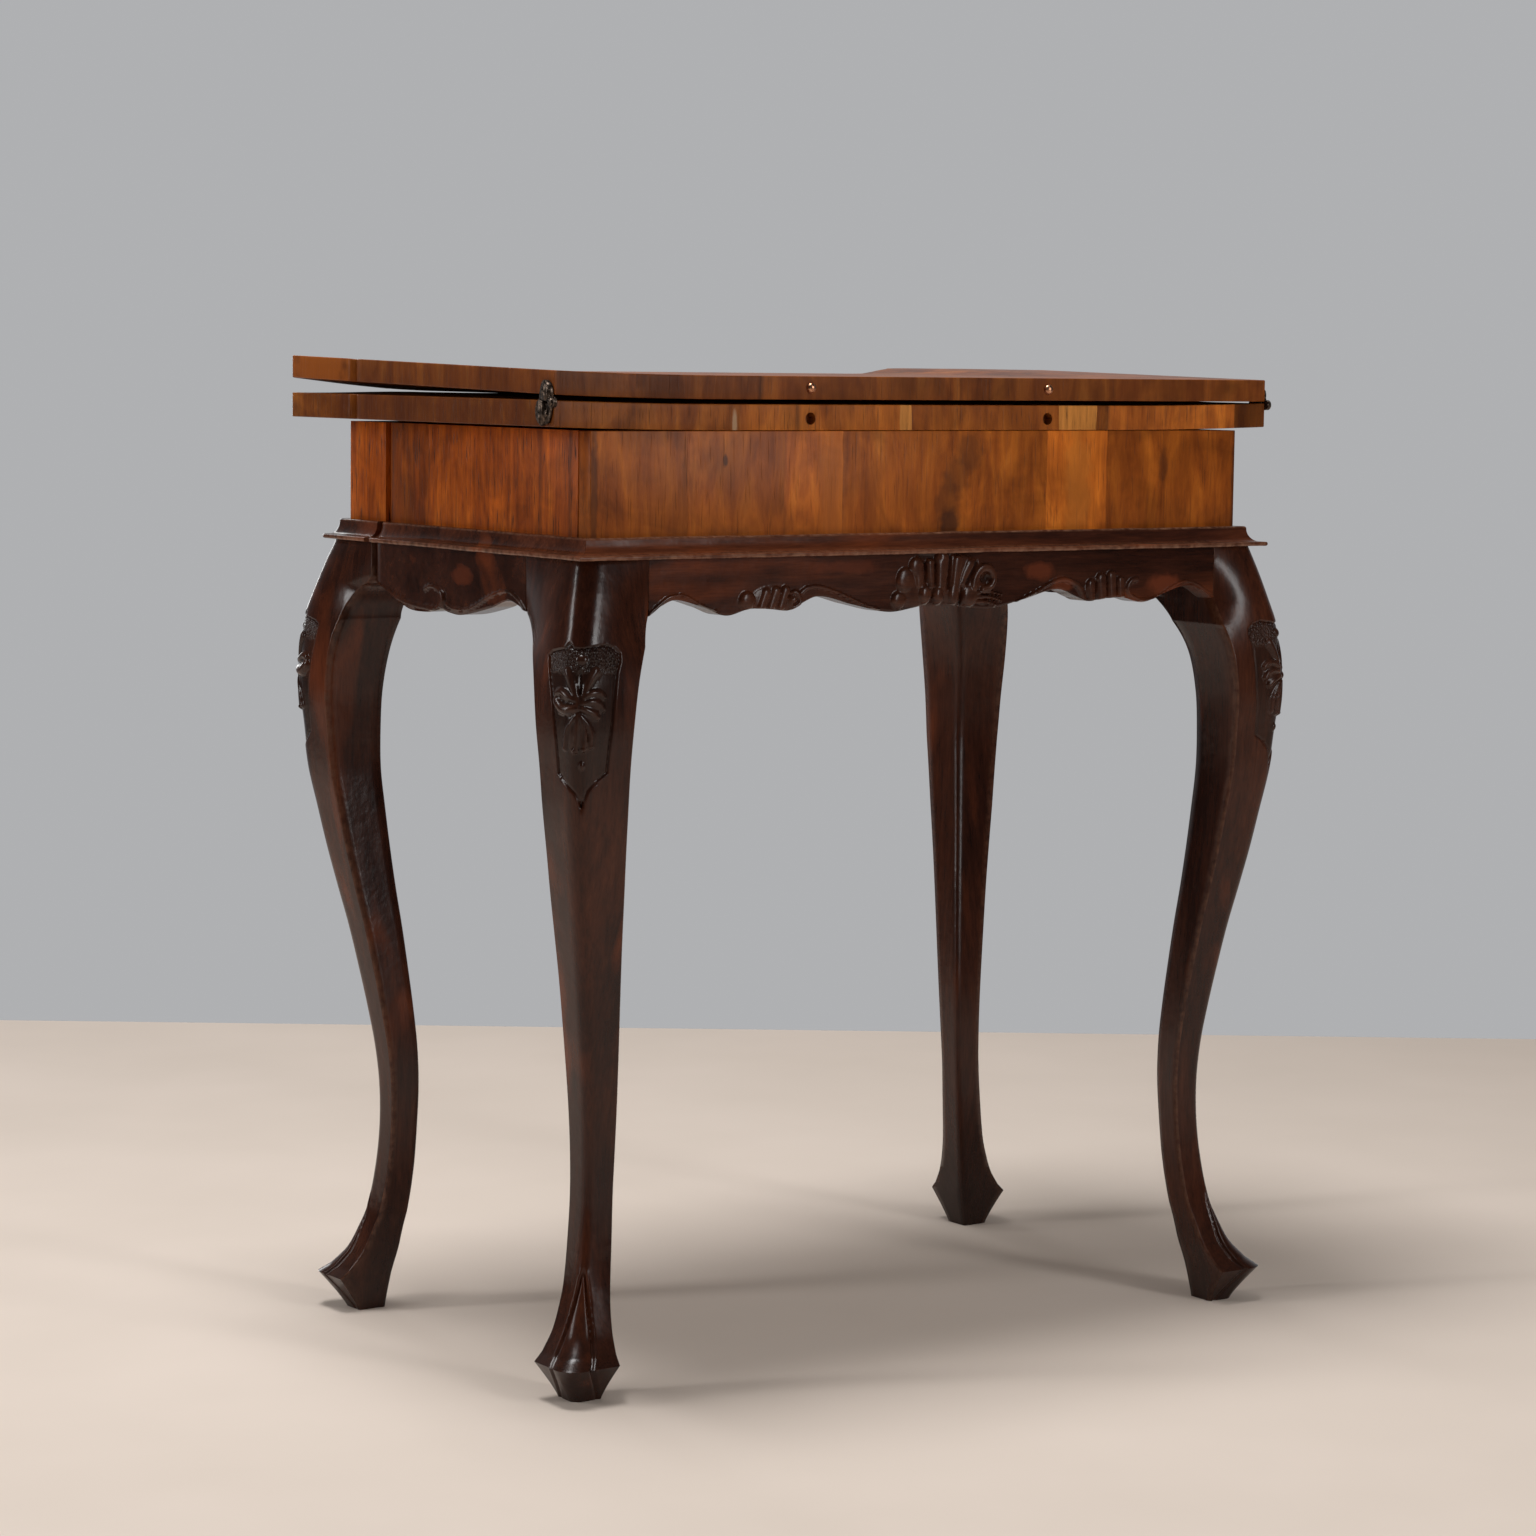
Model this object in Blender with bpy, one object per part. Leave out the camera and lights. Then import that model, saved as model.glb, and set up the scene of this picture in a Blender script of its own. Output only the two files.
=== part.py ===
"""Fold over card table: swivelling, folding top on a box with cabriole legs.

Metres, +Z up. The origin is the middle of the table's box on the floor. The long side is X.
The shaped front faces -Y, and the straight back, where the two leaves are hinged, faces +Y.
"""
import math

import bmesh
import bpy
from mathutils import Vector

# Clearances that the whole table keeps
GAP = 0.0003
OVERRUN = 0.0040
SMOOTH_ANGLE = math.radians(35)

# Box that carries the top
BOX_LENGTH = 0.6355
BOX_DEPTH = 0.3650
BOX_HEIGHT = 0.0955
PANEL_THICKNESS = 0.0160
FRONT_PANEL_THICKNESS = 0.0200
BOTTOM_THICKNESS = 0.0080

# Plan shape that box, moulding, base and leaves share
BACK_RIGHT_BLOCK = 0.0450
BACK_LEFT_BLOCK = 0.0315
END_BLOCK = 0.0690
FRONT_BLOCK = 0.0590
NOTCH_DEPTH = 0.0070
BUMP_LENGTH = 0.0160
FRONT_HOLLOW = 0.0080
CORNER_ROUND = 0.0015
CORNER_GROWTH_SHARE = 0.7
LEAST_ROUND = 0.0010
CORNER_STEPS = 4
BUMP_STEPS = 4

# Base moulding
MOULDING_HEIGHT = 0.0160
LIP_OUT = 0.0205
LIP_THICKNESS = 0.0035
LIP_EDGE = 0.0010
COVE_FOOT = 0.0158
LEDGE_OUT = 0.0078
LEDGE_EDGE = 0.0015
COVE_STEPS = 5

# Base: aprons and the legs' top blocks
LEG_HEIGHT = 0.6392
BASE_OUT = 0.0126
APRON_THICKNESS = 0.0200
BEAD_HEIGHT = 0.0040
BEAD_OUT = 0.0012
APRON_DROP = 0.0480
BRACE_THICKNESS = 0.0180
BRACE_WIDTH = 0.0240
BRACE_DROP = 0.0050

# Cabriole legs
KNEE_REACH = 0.0346
KNEE_SIDE = 0.0600
KNEE_ROUND = 0.0150
ARRIS = 0.0012
SOLE_SIDE = 0.0215
SOLE_OUT = 0.0057
RIM_HEIGHT = 0.0290
RIM_SIDE = 0.0440
RIM_OUT = 0.0255
RIM_ROUND = 0.0180
SOLE_ROUND = 0.0070
PETAL_GROOVE = 0.0042
PETAL_LENGTH = 0.0710
PETAL_SHARE = 1.25
NARROW_PETAL_SHARE = 0.62
GROOVE_SHARE = 0.2
ARCH_DROP = 0.0642
LEAN_START_SHARE = 0.7
BACK_ARCH_RISE = 0.0220
FRONT_ARCH_RISE = 0.0320
ARCH_STEPS = 5
DRAW_BELOW_ARCH = 0.0450
FACE_PARTS = [0.3, 0.65, 1.0]
TOE_STEPS = 4

# Leaves of the top
LEAF_END_OUT = 0.03125
LEAF_FRONT_OUT = 0.0440
LEAF_THICKNESS = 0.0180
LEAF_GAP = 0.0055
LEAF_CORNER_ROUND = 0.0050
LOWER_CURL = 0.0024
UPPER_CURL_BACK = 0.0028
UPPER_CURL_FRONT = 0.0110
CURL_START = 0.1900

# Swivel
RAIL_WIDTH = 0.0700
RAIL_THICKNESS = 0.0220
RAIL_DROP = 0.0005
BOLT_RADIUS = 0.0060
BOLT_SEAT = 0.0100
BOLT_TAIL = 0.0030
WASHER_RADIUS = 0.0130
WASHER_THICKNESS = 0.0015
NUT_RADIUS = 0.0115
NUT_THICKNESS = 0.0080
STOP_RADIUS = 0.0060
STOP_LENGTH = 0.0140
STOP_SEAT = 0.0080
STOP_CLEARANCE = 0.0005

# Hinges on the leaves' end faces
PLATE_THICKNESS = 0.0016
KNUCKLE_RADIUS = 0.0042
OVAL_SETBACK = 0.0090
OVAL_HALF_WIDTH = 0.0070
OVAL_HALF_HEIGHT = 0.0155
PLATE_PARTING = 0.0010
FOOT_SETBACK = 0.0035
FOOT_CLEARANCE = 0.0010
HINGE_PIN_RADIUS = 0.0018
HINGE_HEAD_RADIUS = 0.0032
HINGE_HEAD_HEIGHT = 0.0010
SCREW_HEAD_RADIUS = 0.0030
SCREW_HEAD_HEIGHT = 0.0012
SCREW_SHANK_RADIUS = 0.0014
SCREW_LENGTH = 0.0080
SCREW_DROP = 0.0085
HEAD_TOP_SHARE = 0.7
KNUCKLE_TURN = math.radians(475)
KNUCKLE_STEPS = 20

# Alignment studs and their holes
STUD_SPACING = 0.2340
STUD_RADIUS = 0.0041
STUD_PROUD = 0.0036
STUD_SHANK_RADIUS = 0.0025
STUD_SHANK_LENGTH = 0.0120
STUD_HOLE_RADIUS = 0.0048
STUD_HOLE_DEPTH = 0.0080

# Places worked out from the sizes above
KNEE_BACK = BOX_DEPTH / 2 + KNEE_REACH
LEAF_FRONT = BOX_DEPTH / 2 + LEAF_FRONT_OUT
BOX_CENTRE = (LEAF_FRONT - KNEE_BACK) / 2
BACK_FACE = BOX_CENTRE + BOX_DEPTH / 2
FRONT_FACE = BOX_CENTRE - BOX_DEPTH / 2
END_FACE = BOX_LENGTH / 2
END_NOTCH = FRONT_FACE + FRONT_BLOCK
FRONT_NOTCH = END_FACE - FRONT_BLOCK
APRON_INNER = BASE_OUT - APRON_THICKNESS
ARCH_FOOT = LEG_HEIGHT - ARCH_DROP
BOX_FOOT = LEG_HEIGHT + GAP
BOX_TOP = BOX_FOOT + BOX_HEIGHT
LEAF_LENGTH = BOX_LENGTH + 2 * LEAF_END_OUT
LEAF_DEPTH = BOX_DEPTH + LEAF_FRONT_OUT
LOWER_BOTTOM = BOX_TOP + GAP
LOWER_TOP = LOWER_BOTTOM + LEAF_THICKNESS
UPPER_BOTTOM = LOWER_TOP + LEAF_GAP
HINGE_Z = LOWER_TOP + LEAF_GAP / 2
HINGE_Y = BACK_FACE + GAP
PIVOT_X = BOX_DEPTH / 4
PIVOT_Y = BOX_CENTRE + BOX_DEPTH / 4
BACK_INNER = BACK_FACE - PANEL_THICKNESS
FRONT_INNER = FRONT_FACE + FRONT_PANEL_THICKNESS
END_INNER = END_FACE - PANEL_THICKNESS
RAIL_TOP = BOX_TOP - RAIL_DROP
RAIL_BOTTOM = RAIL_TOP - RAIL_THICKNESS

# Heights and widths of the cabriole line, as shares of leg height, knee reach and knee side
LEG_LINE_SHARES = [
    (0.056, 0.510, 0.670),
    (0.078, 0.205, 0.585),
    (0.106, -0.020, 0.492),
    (0.133, -0.185, 0.433),
    (0.186, -0.338, 0.388),
    (0.239, -0.417, 0.372),
    (0.293, -0.419, 0.390),
    (0.344, -0.347, 0.423),
    (0.396, -0.214, 0.465),
    (0.449, -0.055, 0.510),
    (0.501, 0.113, 0.557),
    (0.552, 0.306, 0.613),
    (0.604, 0.497, 0.683),
    (0.656, 0.665, 0.742),
    (0.707, 0.827, 0.800),
    (0.759, 0.919, 0.850),
    (0.809, 1.000, 0.917),
    (0.860, 0.985, 0.980),
    (0.900, 0.915, 1.048),
    (0.940, 0.720, 1.100),
    (0.970, 0.552, 1.150),
    (1.000, 0.364, 1.200),
]
LEG_RING_SHARES = [0.062, 0.070, 0.078, 0.092, 0.106, 0.133, 0.160, 0.186, 0.239, 0.293, 0.344,
                   0.396, 0.449, 0.501, 0.552, 0.604, 0.656, 0.707, 0.759, 0.809, 0.845, 0.875]

# How far each leg leans along X and Y below its knee, per length of leg
LEG_LEAN_SHARES = {
    "back_right": (0.0, 0.0),
    "back_left": (-0.006, 0.005),
    "front_right": (-0.008, 0.006),
    "front_left": (-0.012, 0.016),
}

# Scalloped lower edges: place along the half span from seam to middle, drop below the apron's top
LONG_SCALLOP_SHARES = [
    (0.000, 0.890), (0.045, 0.730), (0.092, 0.645), (0.187, 0.781), (0.260, 0.915),
    (0.339, 0.822), (0.407, 0.830), (0.470, 0.865), (0.500, 0.800), (0.576, 0.652),
    (0.702, 0.808), (0.827, 0.940), (0.948, 0.855), (1.000, 0.860),
]
END_SCALLOP_SHARES = [
    (0.000, 0.883), (0.110, 0.742), (0.221, 0.885), (0.412, 1.054), (0.500, 1.030),
    (0.535, 0.985), (0.570, 1.030), (0.640, 1.070), (0.760, 1.046), (0.860, 0.860),
    (0.960, 0.680), (1.000, 0.640),
]

# Where each leg meets the long apron and the end apron: width of its block, power of the arch's
# curve (1 is straight, 2 is round), and how much the leg widens as its face draws in
LEG_SEAMS = {
    "back_right": ((BACK_RIGHT_BLOCK, 1.2, 0.7), (END_BLOCK, 1.2, 1.5)),
    "back_left": ((BACK_LEFT_BLOCK, 2.0, 0.0), (END_BLOCK, 1.2, 1.5)),
    "front_right": ((FRONT_BLOCK, 2.0, 0.0), (FRONT_BLOCK, 2.0, 0.0)),
    "front_left": ((FRONT_BLOCK, 2.0, 0.0), (FRONT_BLOCK, 2.0, 0.0)),
}
LEG_CORNERS = {
    "back_right": (1, 1),
    "back_left": (-1, 1),
    "front_right": (1, -1),
    "front_left": (-1, -1),
}


def clear_scene():
    for found in list(bpy.data.objects):
        bpy.data.objects.remove(found, do_unlink=True)


def material(name, colour, roughness, metallic):
    made = bpy.data.materials.new(name)
    made.use_nodes = True
    shader = made.node_tree.nodes["Principled BSDF"]
    shader.inputs["Base Color"].default_value = (*colour, 1.0)
    shader.inputs["Roughness"].default_value = roughness
    shader.inputs["Metallic"].default_value = metallic
    return made


def make_object(name, mesh, look):
    """Object from a bmesh whose faces are turned to point out."""
    bmesh.ops.recalc_face_normals(mesh, faces=mesh.faces)
    data = bpy.data.meshes.new(name)
    mesh.to_mesh(data)
    mesh.free()
    data.materials.append(look)
    data.shade_smooth()
    data.set_sharp_from_angle(angle=SMOOTH_ANGLE)
    made = bpy.data.objects.new(name, data)
    bpy.context.scene.collection.objects.link(made)
    return made


def loft(name, rings, look):
    """Closed solid through rings of equally many points, capped at both ends."""
    mesh = bmesh.new()
    rows = [[mesh.verts.new(point) for point in ring] for ring in rings]
    for near, far in zip(rows, rows[1:]):
        for index in range(len(near)):
            after = (index + 1) % len(near)
            mesh.faces.new((near[index], near[after], far[after], far[index]))
    mesh.faces.new(rows[0])
    mesh.faces.new(rows[-1])
    return make_object(name, mesh, look)


def prism(name, outline, low, high, look):
    """Upright solid over a plan outline."""
    rings = [[(x, y, z) for x, y in outline] for z in (low, high)]
    return loft(name, rings, look)


def end_prism(name, outline, near, far, look):
    """Solid over an outline in the Y-Z plane, between two places along X."""
    rings = [[(x, y, z) for y, z in outline] for x in (near, far)]
    return loft(name, rings, look)


def place_on_axis(made, origin):
    """Move an object's origin to a point and leave its shape where it is."""
    shift = Vector(origin)
    for vertex in made.data.vertices:
        vertex.co -= shift
    made.location = shift


def turned(name, profile, foot, direction, look, sides=24):
    """Solid of revolution: profile of (radius, distance) from foot along direction."""
    turn = Vector((0, 0, 1)).rotation_difference(Vector(direction)).to_matrix()
    foot = Vector(foot)
    rings = []
    for radius, distance in profile:
        ring = []
        for step in range(sides):
            angle = 2 * math.pi * step / sides
            local = Vector((radius * math.cos(angle), radius * math.sin(angle), distance))
            ring.append(foot + turn @ local)
        rings.append(ring)
    return loft(name, rings, look)


def bored_ring(name, outer, bore, centre, low, high, look, sides=32, outer_sides=None):
    """Flat ring or nut with a round bore, standing on the Z axis."""
    outer_sides = outer_sides or sides
    mesh = bmesh.new()
    loops = []
    for z in (low, high):
        for radius, corners in ((outer, outer_sides), (bore, sides)):
            loop = []
            for step in range(sides):
                angle = 2 * math.pi * step / sides
                reach = radius
                if corners != sides:
                    part = 2 * math.pi / corners
                    reach = radius * math.cos(part / 2) / math.cos(angle % part - part / 2)
                loop.append(mesh.verts.new((centre[0] + reach * math.cos(angle),
                                            centre[1] + reach * math.sin(angle), z)))
            loops.append(loop)
    low_outer, low_bore, high_outer, high_bore = loops
    for first, second in ((low_outer, high_outer), (high_bore, low_bore),
                          (high_outer, high_bore), (low_bore, low_outer)):
        for index in range(sides):
            after = (index + 1) % sides
            mesh.faces.new((first[index], first[after], second[after], second[index]))
    return make_object(name, mesh, look)


def join_or_cut(target, tool, operation):
    """Boolean on the target. The tool stays as a hidden guide."""
    tool.hide_render = True
    tool.display_type = 'WIRE'
    change = target.modifiers.new(tool.name, 'BOOLEAN')
    change.operation = operation
    change.object = tool
    change.solver = 'EXACT'


def drill(target, radius, foot, direction, depth, look, sides=20):
    profile = [(radius, -OVERRUN), (radius, depth)]
    name = f"{target.name}_drill_{len(target.modifiers)}"
    join_or_cut(target, turned(name, profile, foot, direction, look, sides), 'DIFFERENCE')


def smooth_share(table, place, column):
    """Smooth curve through a table of shares, read at one place."""
    places = [row[0] for row in table]
    values = [row[column] for row in table]
    last = len(table) - 1
    place = min(max(place, places[0]), places[-1])
    slot = 0
    while slot < last - 1 and places[slot + 1] < place:
        slot += 1

    def slope(index):
        before = max(index - 1, 0)
        after = min(index + 1, last)
        return (values[after] - values[before]) / (places[after] - places[before])

    span = places[slot + 1] - places[slot]
    part = (place - places[slot]) / span
    rise = values[slot + 1] - values[slot]
    start = slope(slot) * span
    finish = slope(slot + 1) * span
    cubic = (start + finish - 2 * rise) * part ** 3
    square = (3 * rise - 2 * start - finish) * part ** 2
    return values[slot] + start * part + square + cubic


def dent(distance):
    """How far a side draws in beside the corner block, by the distance from the notch."""
    if distance >= BUMP_LENGTH:
        return 0.0
    part = 1 - distance / BUMP_LENGTH
    return NOTCH_DEPTH * (1 - math.sqrt(max(0.0, 1 - part * part)))


def front_draw(x):
    """How far the front draws in: the notches and the hollows of its serpentine."""
    distance = FRONT_NOTCH - abs(x)
    part = distance / FRONT_NOTCH
    hollow = FRONT_HOLLOW * (1 - math.cos(2 * math.pi * part)) / 2
    return dent(distance) + hollow


def bump_distances():
    """Distances from a notch that follow its rounded shoulder evenly, shoulder first."""
    angles = [math.pi / 2 * step / BUMP_STEPS for step in range(BUMP_STEPS + 1)]
    return [BUMP_LENGTH * (1 - math.sin(angle)) for angle in angles]


def corner_round(out):
    return max(LEAST_ROUND, CORNER_ROUND + CORNER_GROWTH_SHARE * out)


def corner_arc(out_x, out_y, radius):
    """Front right corner in plan, from the end round to the front."""
    centre_x = END_FACE + out_x - radius
    centre_y = FRONT_FACE - out_y + radius
    arc = []
    for step in range(CORNER_STEPS + 1):
        angle = math.pi / 2 * step / CORNER_STEPS
        arc.append((centre_x + radius * math.cos(angle), centre_y - radius * math.sin(angle)))
    return arc


def end_line(out, back_out):
    """Right end in plan at a distance outside the box, from the back to the corner's middle."""
    x = END_FACE + out
    line = [(x, BACK_FACE + back_out)]
    for distance in bump_distances():
        line.append((x - dent(distance), END_NOTCH + distance))
    line.append((x, END_NOTCH))
    return line + corner_arc(out, out, corner_round(out))[:CORNER_STEPS // 2 + 1]


def front_places():
    """Places along the front from right notch to left notch, evenly spaced between shoulders."""
    half = [FRONT_NOTCH - distance for distance in reversed(bump_distances())]
    spans = 8
    inner = half[-1]
    half += [inner * (1 - step / spans) for step in range(1, spans)]
    return half + [0.0] + [-x for x in reversed(half)]


def front_line(out):
    """Front in plan at a distance outside the box, from the right corner's middle to the left's."""
    y = FRONT_FACE - out
    arc = corner_arc(out, out, corner_round(out))[CORNER_STEPS // 2:]
    line = arc + [(FRONT_NOTCH, y)]
    line += [(x, y + front_draw(x)) for x in front_places()]
    line += [(-FRONT_NOTCH, y)]
    return line + [(-x, y) for x, y in reversed(arc)]


def moulding_section():
    """Distance outside the box and height of each point round the moulding."""
    low = BOX_FOOT
    lip_top = low + LIP_THICKNESS
    ledge = low + MOULDING_HEIGHT
    points = [(GAP, low), (LIP_OUT - LIP_EDGE, low), (LIP_OUT, low + LIP_EDGE)]
    points += [(LIP_OUT, lip_top - LIP_EDGE), (LIP_OUT - LIP_EDGE, lip_top)]
    rise = ledge - LEDGE_EDGE - lip_top
    for step in range(COVE_STEPS + 1):
        angle = math.pi / 2 * step / COVE_STEPS
        out = COVE_FOOT - (COVE_FOOT - LEDGE_OUT) * math.sin(angle)
        points.append((out, lip_top + rise * (1 - math.cos(angle))))
    points += [(LEDGE_OUT - LEDGE_EDGE / 2, ledge), (GAP, ledge)]
    return points


def mirrored(rings):
    return [[(-x, y, z) for x, y, z in ring] for ring in rings]


def shifted(ring, along_x=0.0, along_y=0.0):
    return [(x + along_x, y + along_y, z) for x, y, z in ring]


def build_mouldings(look):
    section = moulding_section()
    heights = [z for _, z in section]

    def rings_of(lines):
        return [[(*line[index], z) for line, z in zip(lines, heights)] for index in range(len(lines[0]))]

    ends = rings_of([end_line(out, out) for out, _ in section])
    ends[0] = shifted(ends[0], along_y=-GAP)
    ends[-1] = shifted(ends[-1], along_y=GAP)
    loft("moulding_right", ends, look)
    loft("moulding_left", mirrored(ends), look)
    front = rings_of([front_line(out) for out, _ in section])
    front[0] = shifted(front[0], along_x=-GAP)
    front[-1] = shifted(front[-1], along_x=GAP)
    loft("moulding_front", front, look)
    back = [[(side * (END_FACE + out), BACK_FACE + out, z) for out, z in section] for side in (1, -1)]
    loft("moulding_back", back, look)


def build_box(look, inside_look):
    half = END_FACE - GAP
    back = [(half, BACK_FACE), (half, BACK_INNER), (-half, BACK_INNER), (-half, BACK_FACE)]
    prism("box_back", back, BOX_FOOT, BOX_TOP, look)
    outer = end_line(0.0, 0.0)
    outer[0] = (END_FACE, BACK_INNER - GAP)
    outer[-1] = (outer[-1][0], outer[-1][1] + GAP)
    inner = [(END_INNER, FRONT_INNER + GAP), (END_INNER, BACK_INNER - GAP)]
    right = outer + inner
    prism("box_right", right, BOX_FOOT, BOX_TOP, look)
    prism("box_left", [(-x, y) for x, y in right], BOX_FOOT, BOX_TOP, look)
    face = front_line(0.0)
    face[0] = (face[0][0] - GAP, face[0][1])
    face[-1] = (face[-1][0] + GAP, face[-1][1])
    reach = END_INNER - GAP
    prism("box_front", face + [(-reach, FRONT_INNER), (reach, FRONT_INNER)], BOX_FOOT, BOX_TOP, look)
    floor_x = END_INNER - GAP
    floor_back = BACK_INNER - GAP
    floor_front = FRONT_INNER + GAP
    floor = [(floor_x, floor_back), (floor_x, floor_front),
             (-floor_x, floor_front), (-floor_x, floor_back)]
    prism("box_bottom", floor, BOX_FOOT, BOX_FOOT + BOTTOM_THICKNESS, inside_look)


def apron_ring(place, drop, along_end, outer_draw):
    """One section of an apron: place is X on the long sides and Y on the ends."""
    low = LEG_HEIGHT - drop
    outline = [
        (APRON_INNER, LEG_HEIGHT),
        (APRON_INNER, low),
        (BASE_OUT, low),
        (BASE_OUT + BEAD_OUT, low + BEAD_HEIGHT / 4),
        (BASE_OUT + BEAD_OUT, low + BEAD_HEIGHT * 3 / 4),
        (BASE_OUT, low + BEAD_HEIGHT),
        (BASE_OUT, LEG_HEIGHT),
    ]
    ring = []
    for out, z in outline:
        drawn = out - (outer_draw if out >= BASE_OUT else 0.0)
        if along_end:
            ring.append((END_FACE + drawn, place, z))
        else:
            ring.append((place, drawn, z))
    return ring


def build_back_apron(look):
    steps = 44
    rings = []
    for step in range(-steps, steps + 1):
        block = BACK_RIGHT_BLOCK if step < 0 else BACK_LEFT_BLOCK
        part = step / steps
        place = -part * (END_FACE - block - GAP)
        share = smooth_share(LONG_SCALLOP_SHARES, 1 - abs(part), 1)
        ring = apron_ring(place, share * APRON_DROP, False, 0.0)
        rings.append([(x, BACK_FACE + y, z) for x, y, z in ring])
    loft("apron_back", rings, look)


def build_front_apron(look):
    steps = 40
    half = FRONT_NOTCH - GAP
    shoulders = [FRONT_NOTCH - distance for distance in bump_distances()]
    shoulders[-1] = half
    inner = shoulders[0]
    places = list(reversed(shoulders)) + [inner * (1 - step / steps) for step in range(1, 2 * steps)] \
        + [-x for x in shoulders]
    rings = []
    for place in places:
        share = smooth_share(LONG_SCALLOP_SHARES, 1 - abs(place) / half, 1)
        ring = apron_ring(place, share * APRON_DROP, False, front_draw(place))
        rings.append([(x, FRONT_FACE - y, z) for x, y, z in ring])
    loft("apron_front", rings, look)


def build_end_aprons(look):
    steps = 36
    start = BACK_FACE - END_BLOCK - GAP
    finish = END_NOTCH + GAP
    shoulder = END_NOTCH + BUMP_LENGTH
    places = [start + (shoulder - start) * step / steps for step in range(steps)]
    places += [END_NOTCH + distance for distance in bump_distances()]
    places[-1] = finish
    rings = []
    for place in places:
        share = smooth_share(END_SCALLOP_SHARES, (start - place) / (start - finish), 1)
        rings.append(apron_ring(place, share * APRON_DROP, True, dent(place - END_NOTCH)))
    loft("apron_right", rings, look)
    loft("apron_left", mirrored(rings), look)


def leg_outer(height):
    """How far a leg's outer faces stand outside the box at a height."""
    return KNEE_REACH * smooth_share(LEG_LINE_SHARES, height / LEG_HEIGHT, 1)


def face_draw(height, arch_rise):
    """How far an outer face draws in towards its apron, so that the two meet flush."""
    foot = ARCH_FOOT - DRAW_BELOW_ARCH
    share = (height - foot) / (ARCH_FOOT + arch_rise - foot)
    return (leg_outer(height) - BASE_OUT) * max(0.0, min(1.0, share)) ** 3


def leg_inner(height, arch_rise, seam):
    """Where an inner face of a leg stands, below, along and above the arch that meets the apron."""
    block, power, spread = seam
    straight = min(height, ARCH_FOOT)
    side = KNEE_SIDE * smooth_share(LEG_LINE_SHARES, straight / LEG_HEIGHT, 2)
    inner = leg_outer(straight) - side - spread * face_draw(straight, arch_rise)
    rise = max(0.0, min(1.0, (height - ARCH_FOOT) / arch_rise))
    return inner - (inner + block) * (1 - (1 - rise ** power) ** (1 / power))


def half_section(outer, inner, rounding, groove, draw):
    """One outer face of a leg in plan, from its inner edge to its corner: (out, along) points."""
    face = outer - inner
    petal = outer - min(rounding * PETAL_SHARE, face * NARROW_PETAL_SHARE)
    groove_width = min(rounding, face) * GROOVE_SHARE
    flat = petal - groove_width
    points = [(outer - draw, inner + ARRIS)]
    for part in FACE_PARTS:
        points.append((outer - draw * (1 - part) ** 2, inner + (flat - inner) * part))
    return points + [(outer - groove, petal), (outer, petal + groove_width / 2)]


def leg_section(outer, inners, rounding, groove, draw):
    """Plan section of a leg, as distances outside the box along X and Y."""
    inner_x, inner_y = inners
    end_face = half_section(outer, inner_y, rounding, groove, draw)
    long_face = half_section(outer, inner_x, rounding, groove, draw)
    ring = [(inner_x + ARRIS, inner_y), (outer - draw - ARRIS, inner_y)] + end_face
    centre = outer - rounding
    for step in range(TOE_STEPS + 1):
        angle = math.pi / 2 * step / TOE_STEPS
        ring.append((centre + rounding * math.cos(angle), centre + rounding * math.sin(angle)))
    ring += [(along, out) for out, along in reversed(long_face)]
    return ring + [(inner_x, outer - draw - ARRIS), (inner_x, inner_y + ARRIS)]


def leg_sections(seams, arch_rise):
    """Heights and plan sections of a leg, from sole to top."""
    sole_inner = SOLE_OUT - SOLE_SIDE
    rim_inner = RIM_OUT - RIM_SIDE
    sole = leg_section(SOLE_OUT, (sole_inner, sole_inner), SOLE_ROUND, PETAL_GROOVE / 4, 0.0)
    rim = leg_section(RIM_OUT, (rim_inner, rim_inner), RIM_ROUND, PETAL_GROOVE, 0.0)
    sections = [(0.0, sole), (RIM_HEIGHT, rim)]
    heights = [share * LEG_HEIGHT for share in LEG_RING_SHARES]
    for step in range(ARCH_STEPS + 1):
        heights.append(ARCH_FOOT + arch_rise * math.sin(math.pi / 2 * step / ARCH_STEPS))
    above = LEG_HEIGHT - heights[-1]
    heights += [LEG_HEIGHT - above * share for share in (2 / 3, 1 / 3, 0)]
    for height in heights:
        outer = leg_outer(height)
        inners = [leg_inner(height, arch_rise, seam) for seam in seams]
        fade = max(0.0, min(1.0, (RIM_HEIGHT + PETAL_LENGTH - height) / PETAL_LENGTH))
        rounding = KNEE_ROUND * min(1.0, (outer - max(inners)) / KNEE_SIDE)
        rounding += (RIM_ROUND - rounding) * fade ** 2
        draw = face_draw(height, arch_rise)
        sections.append((height, leg_section(outer, inners, rounding, PETAL_GROOVE * fade, draw)))
    return sections


def build_legs(look):
    for name, (turn_x, turn_y) in LEG_CORNERS.items():
        face = BACK_FACE if turn_y > 0 else FRONT_FACE
        arch_rise = BACK_ARCH_RISE if turn_y > 0 else FRONT_ARCH_RISE
        lean_x, lean_y = LEG_LEAN_SHARES[name]
        rings = []
        for height, section in leg_sections(LEG_SEAMS[name], arch_rise):
            below = max(0.0, LEAN_START_SHARE * LEG_HEIGHT - height)
            x = turn_x * END_FACE + lean_x * below
            y = face + lean_y * below
            rings.append([(x + turn_x * p, y + turn_y * q, height) for p, q in section])
        loft(f"leg_{name}", rings, look)


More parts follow.
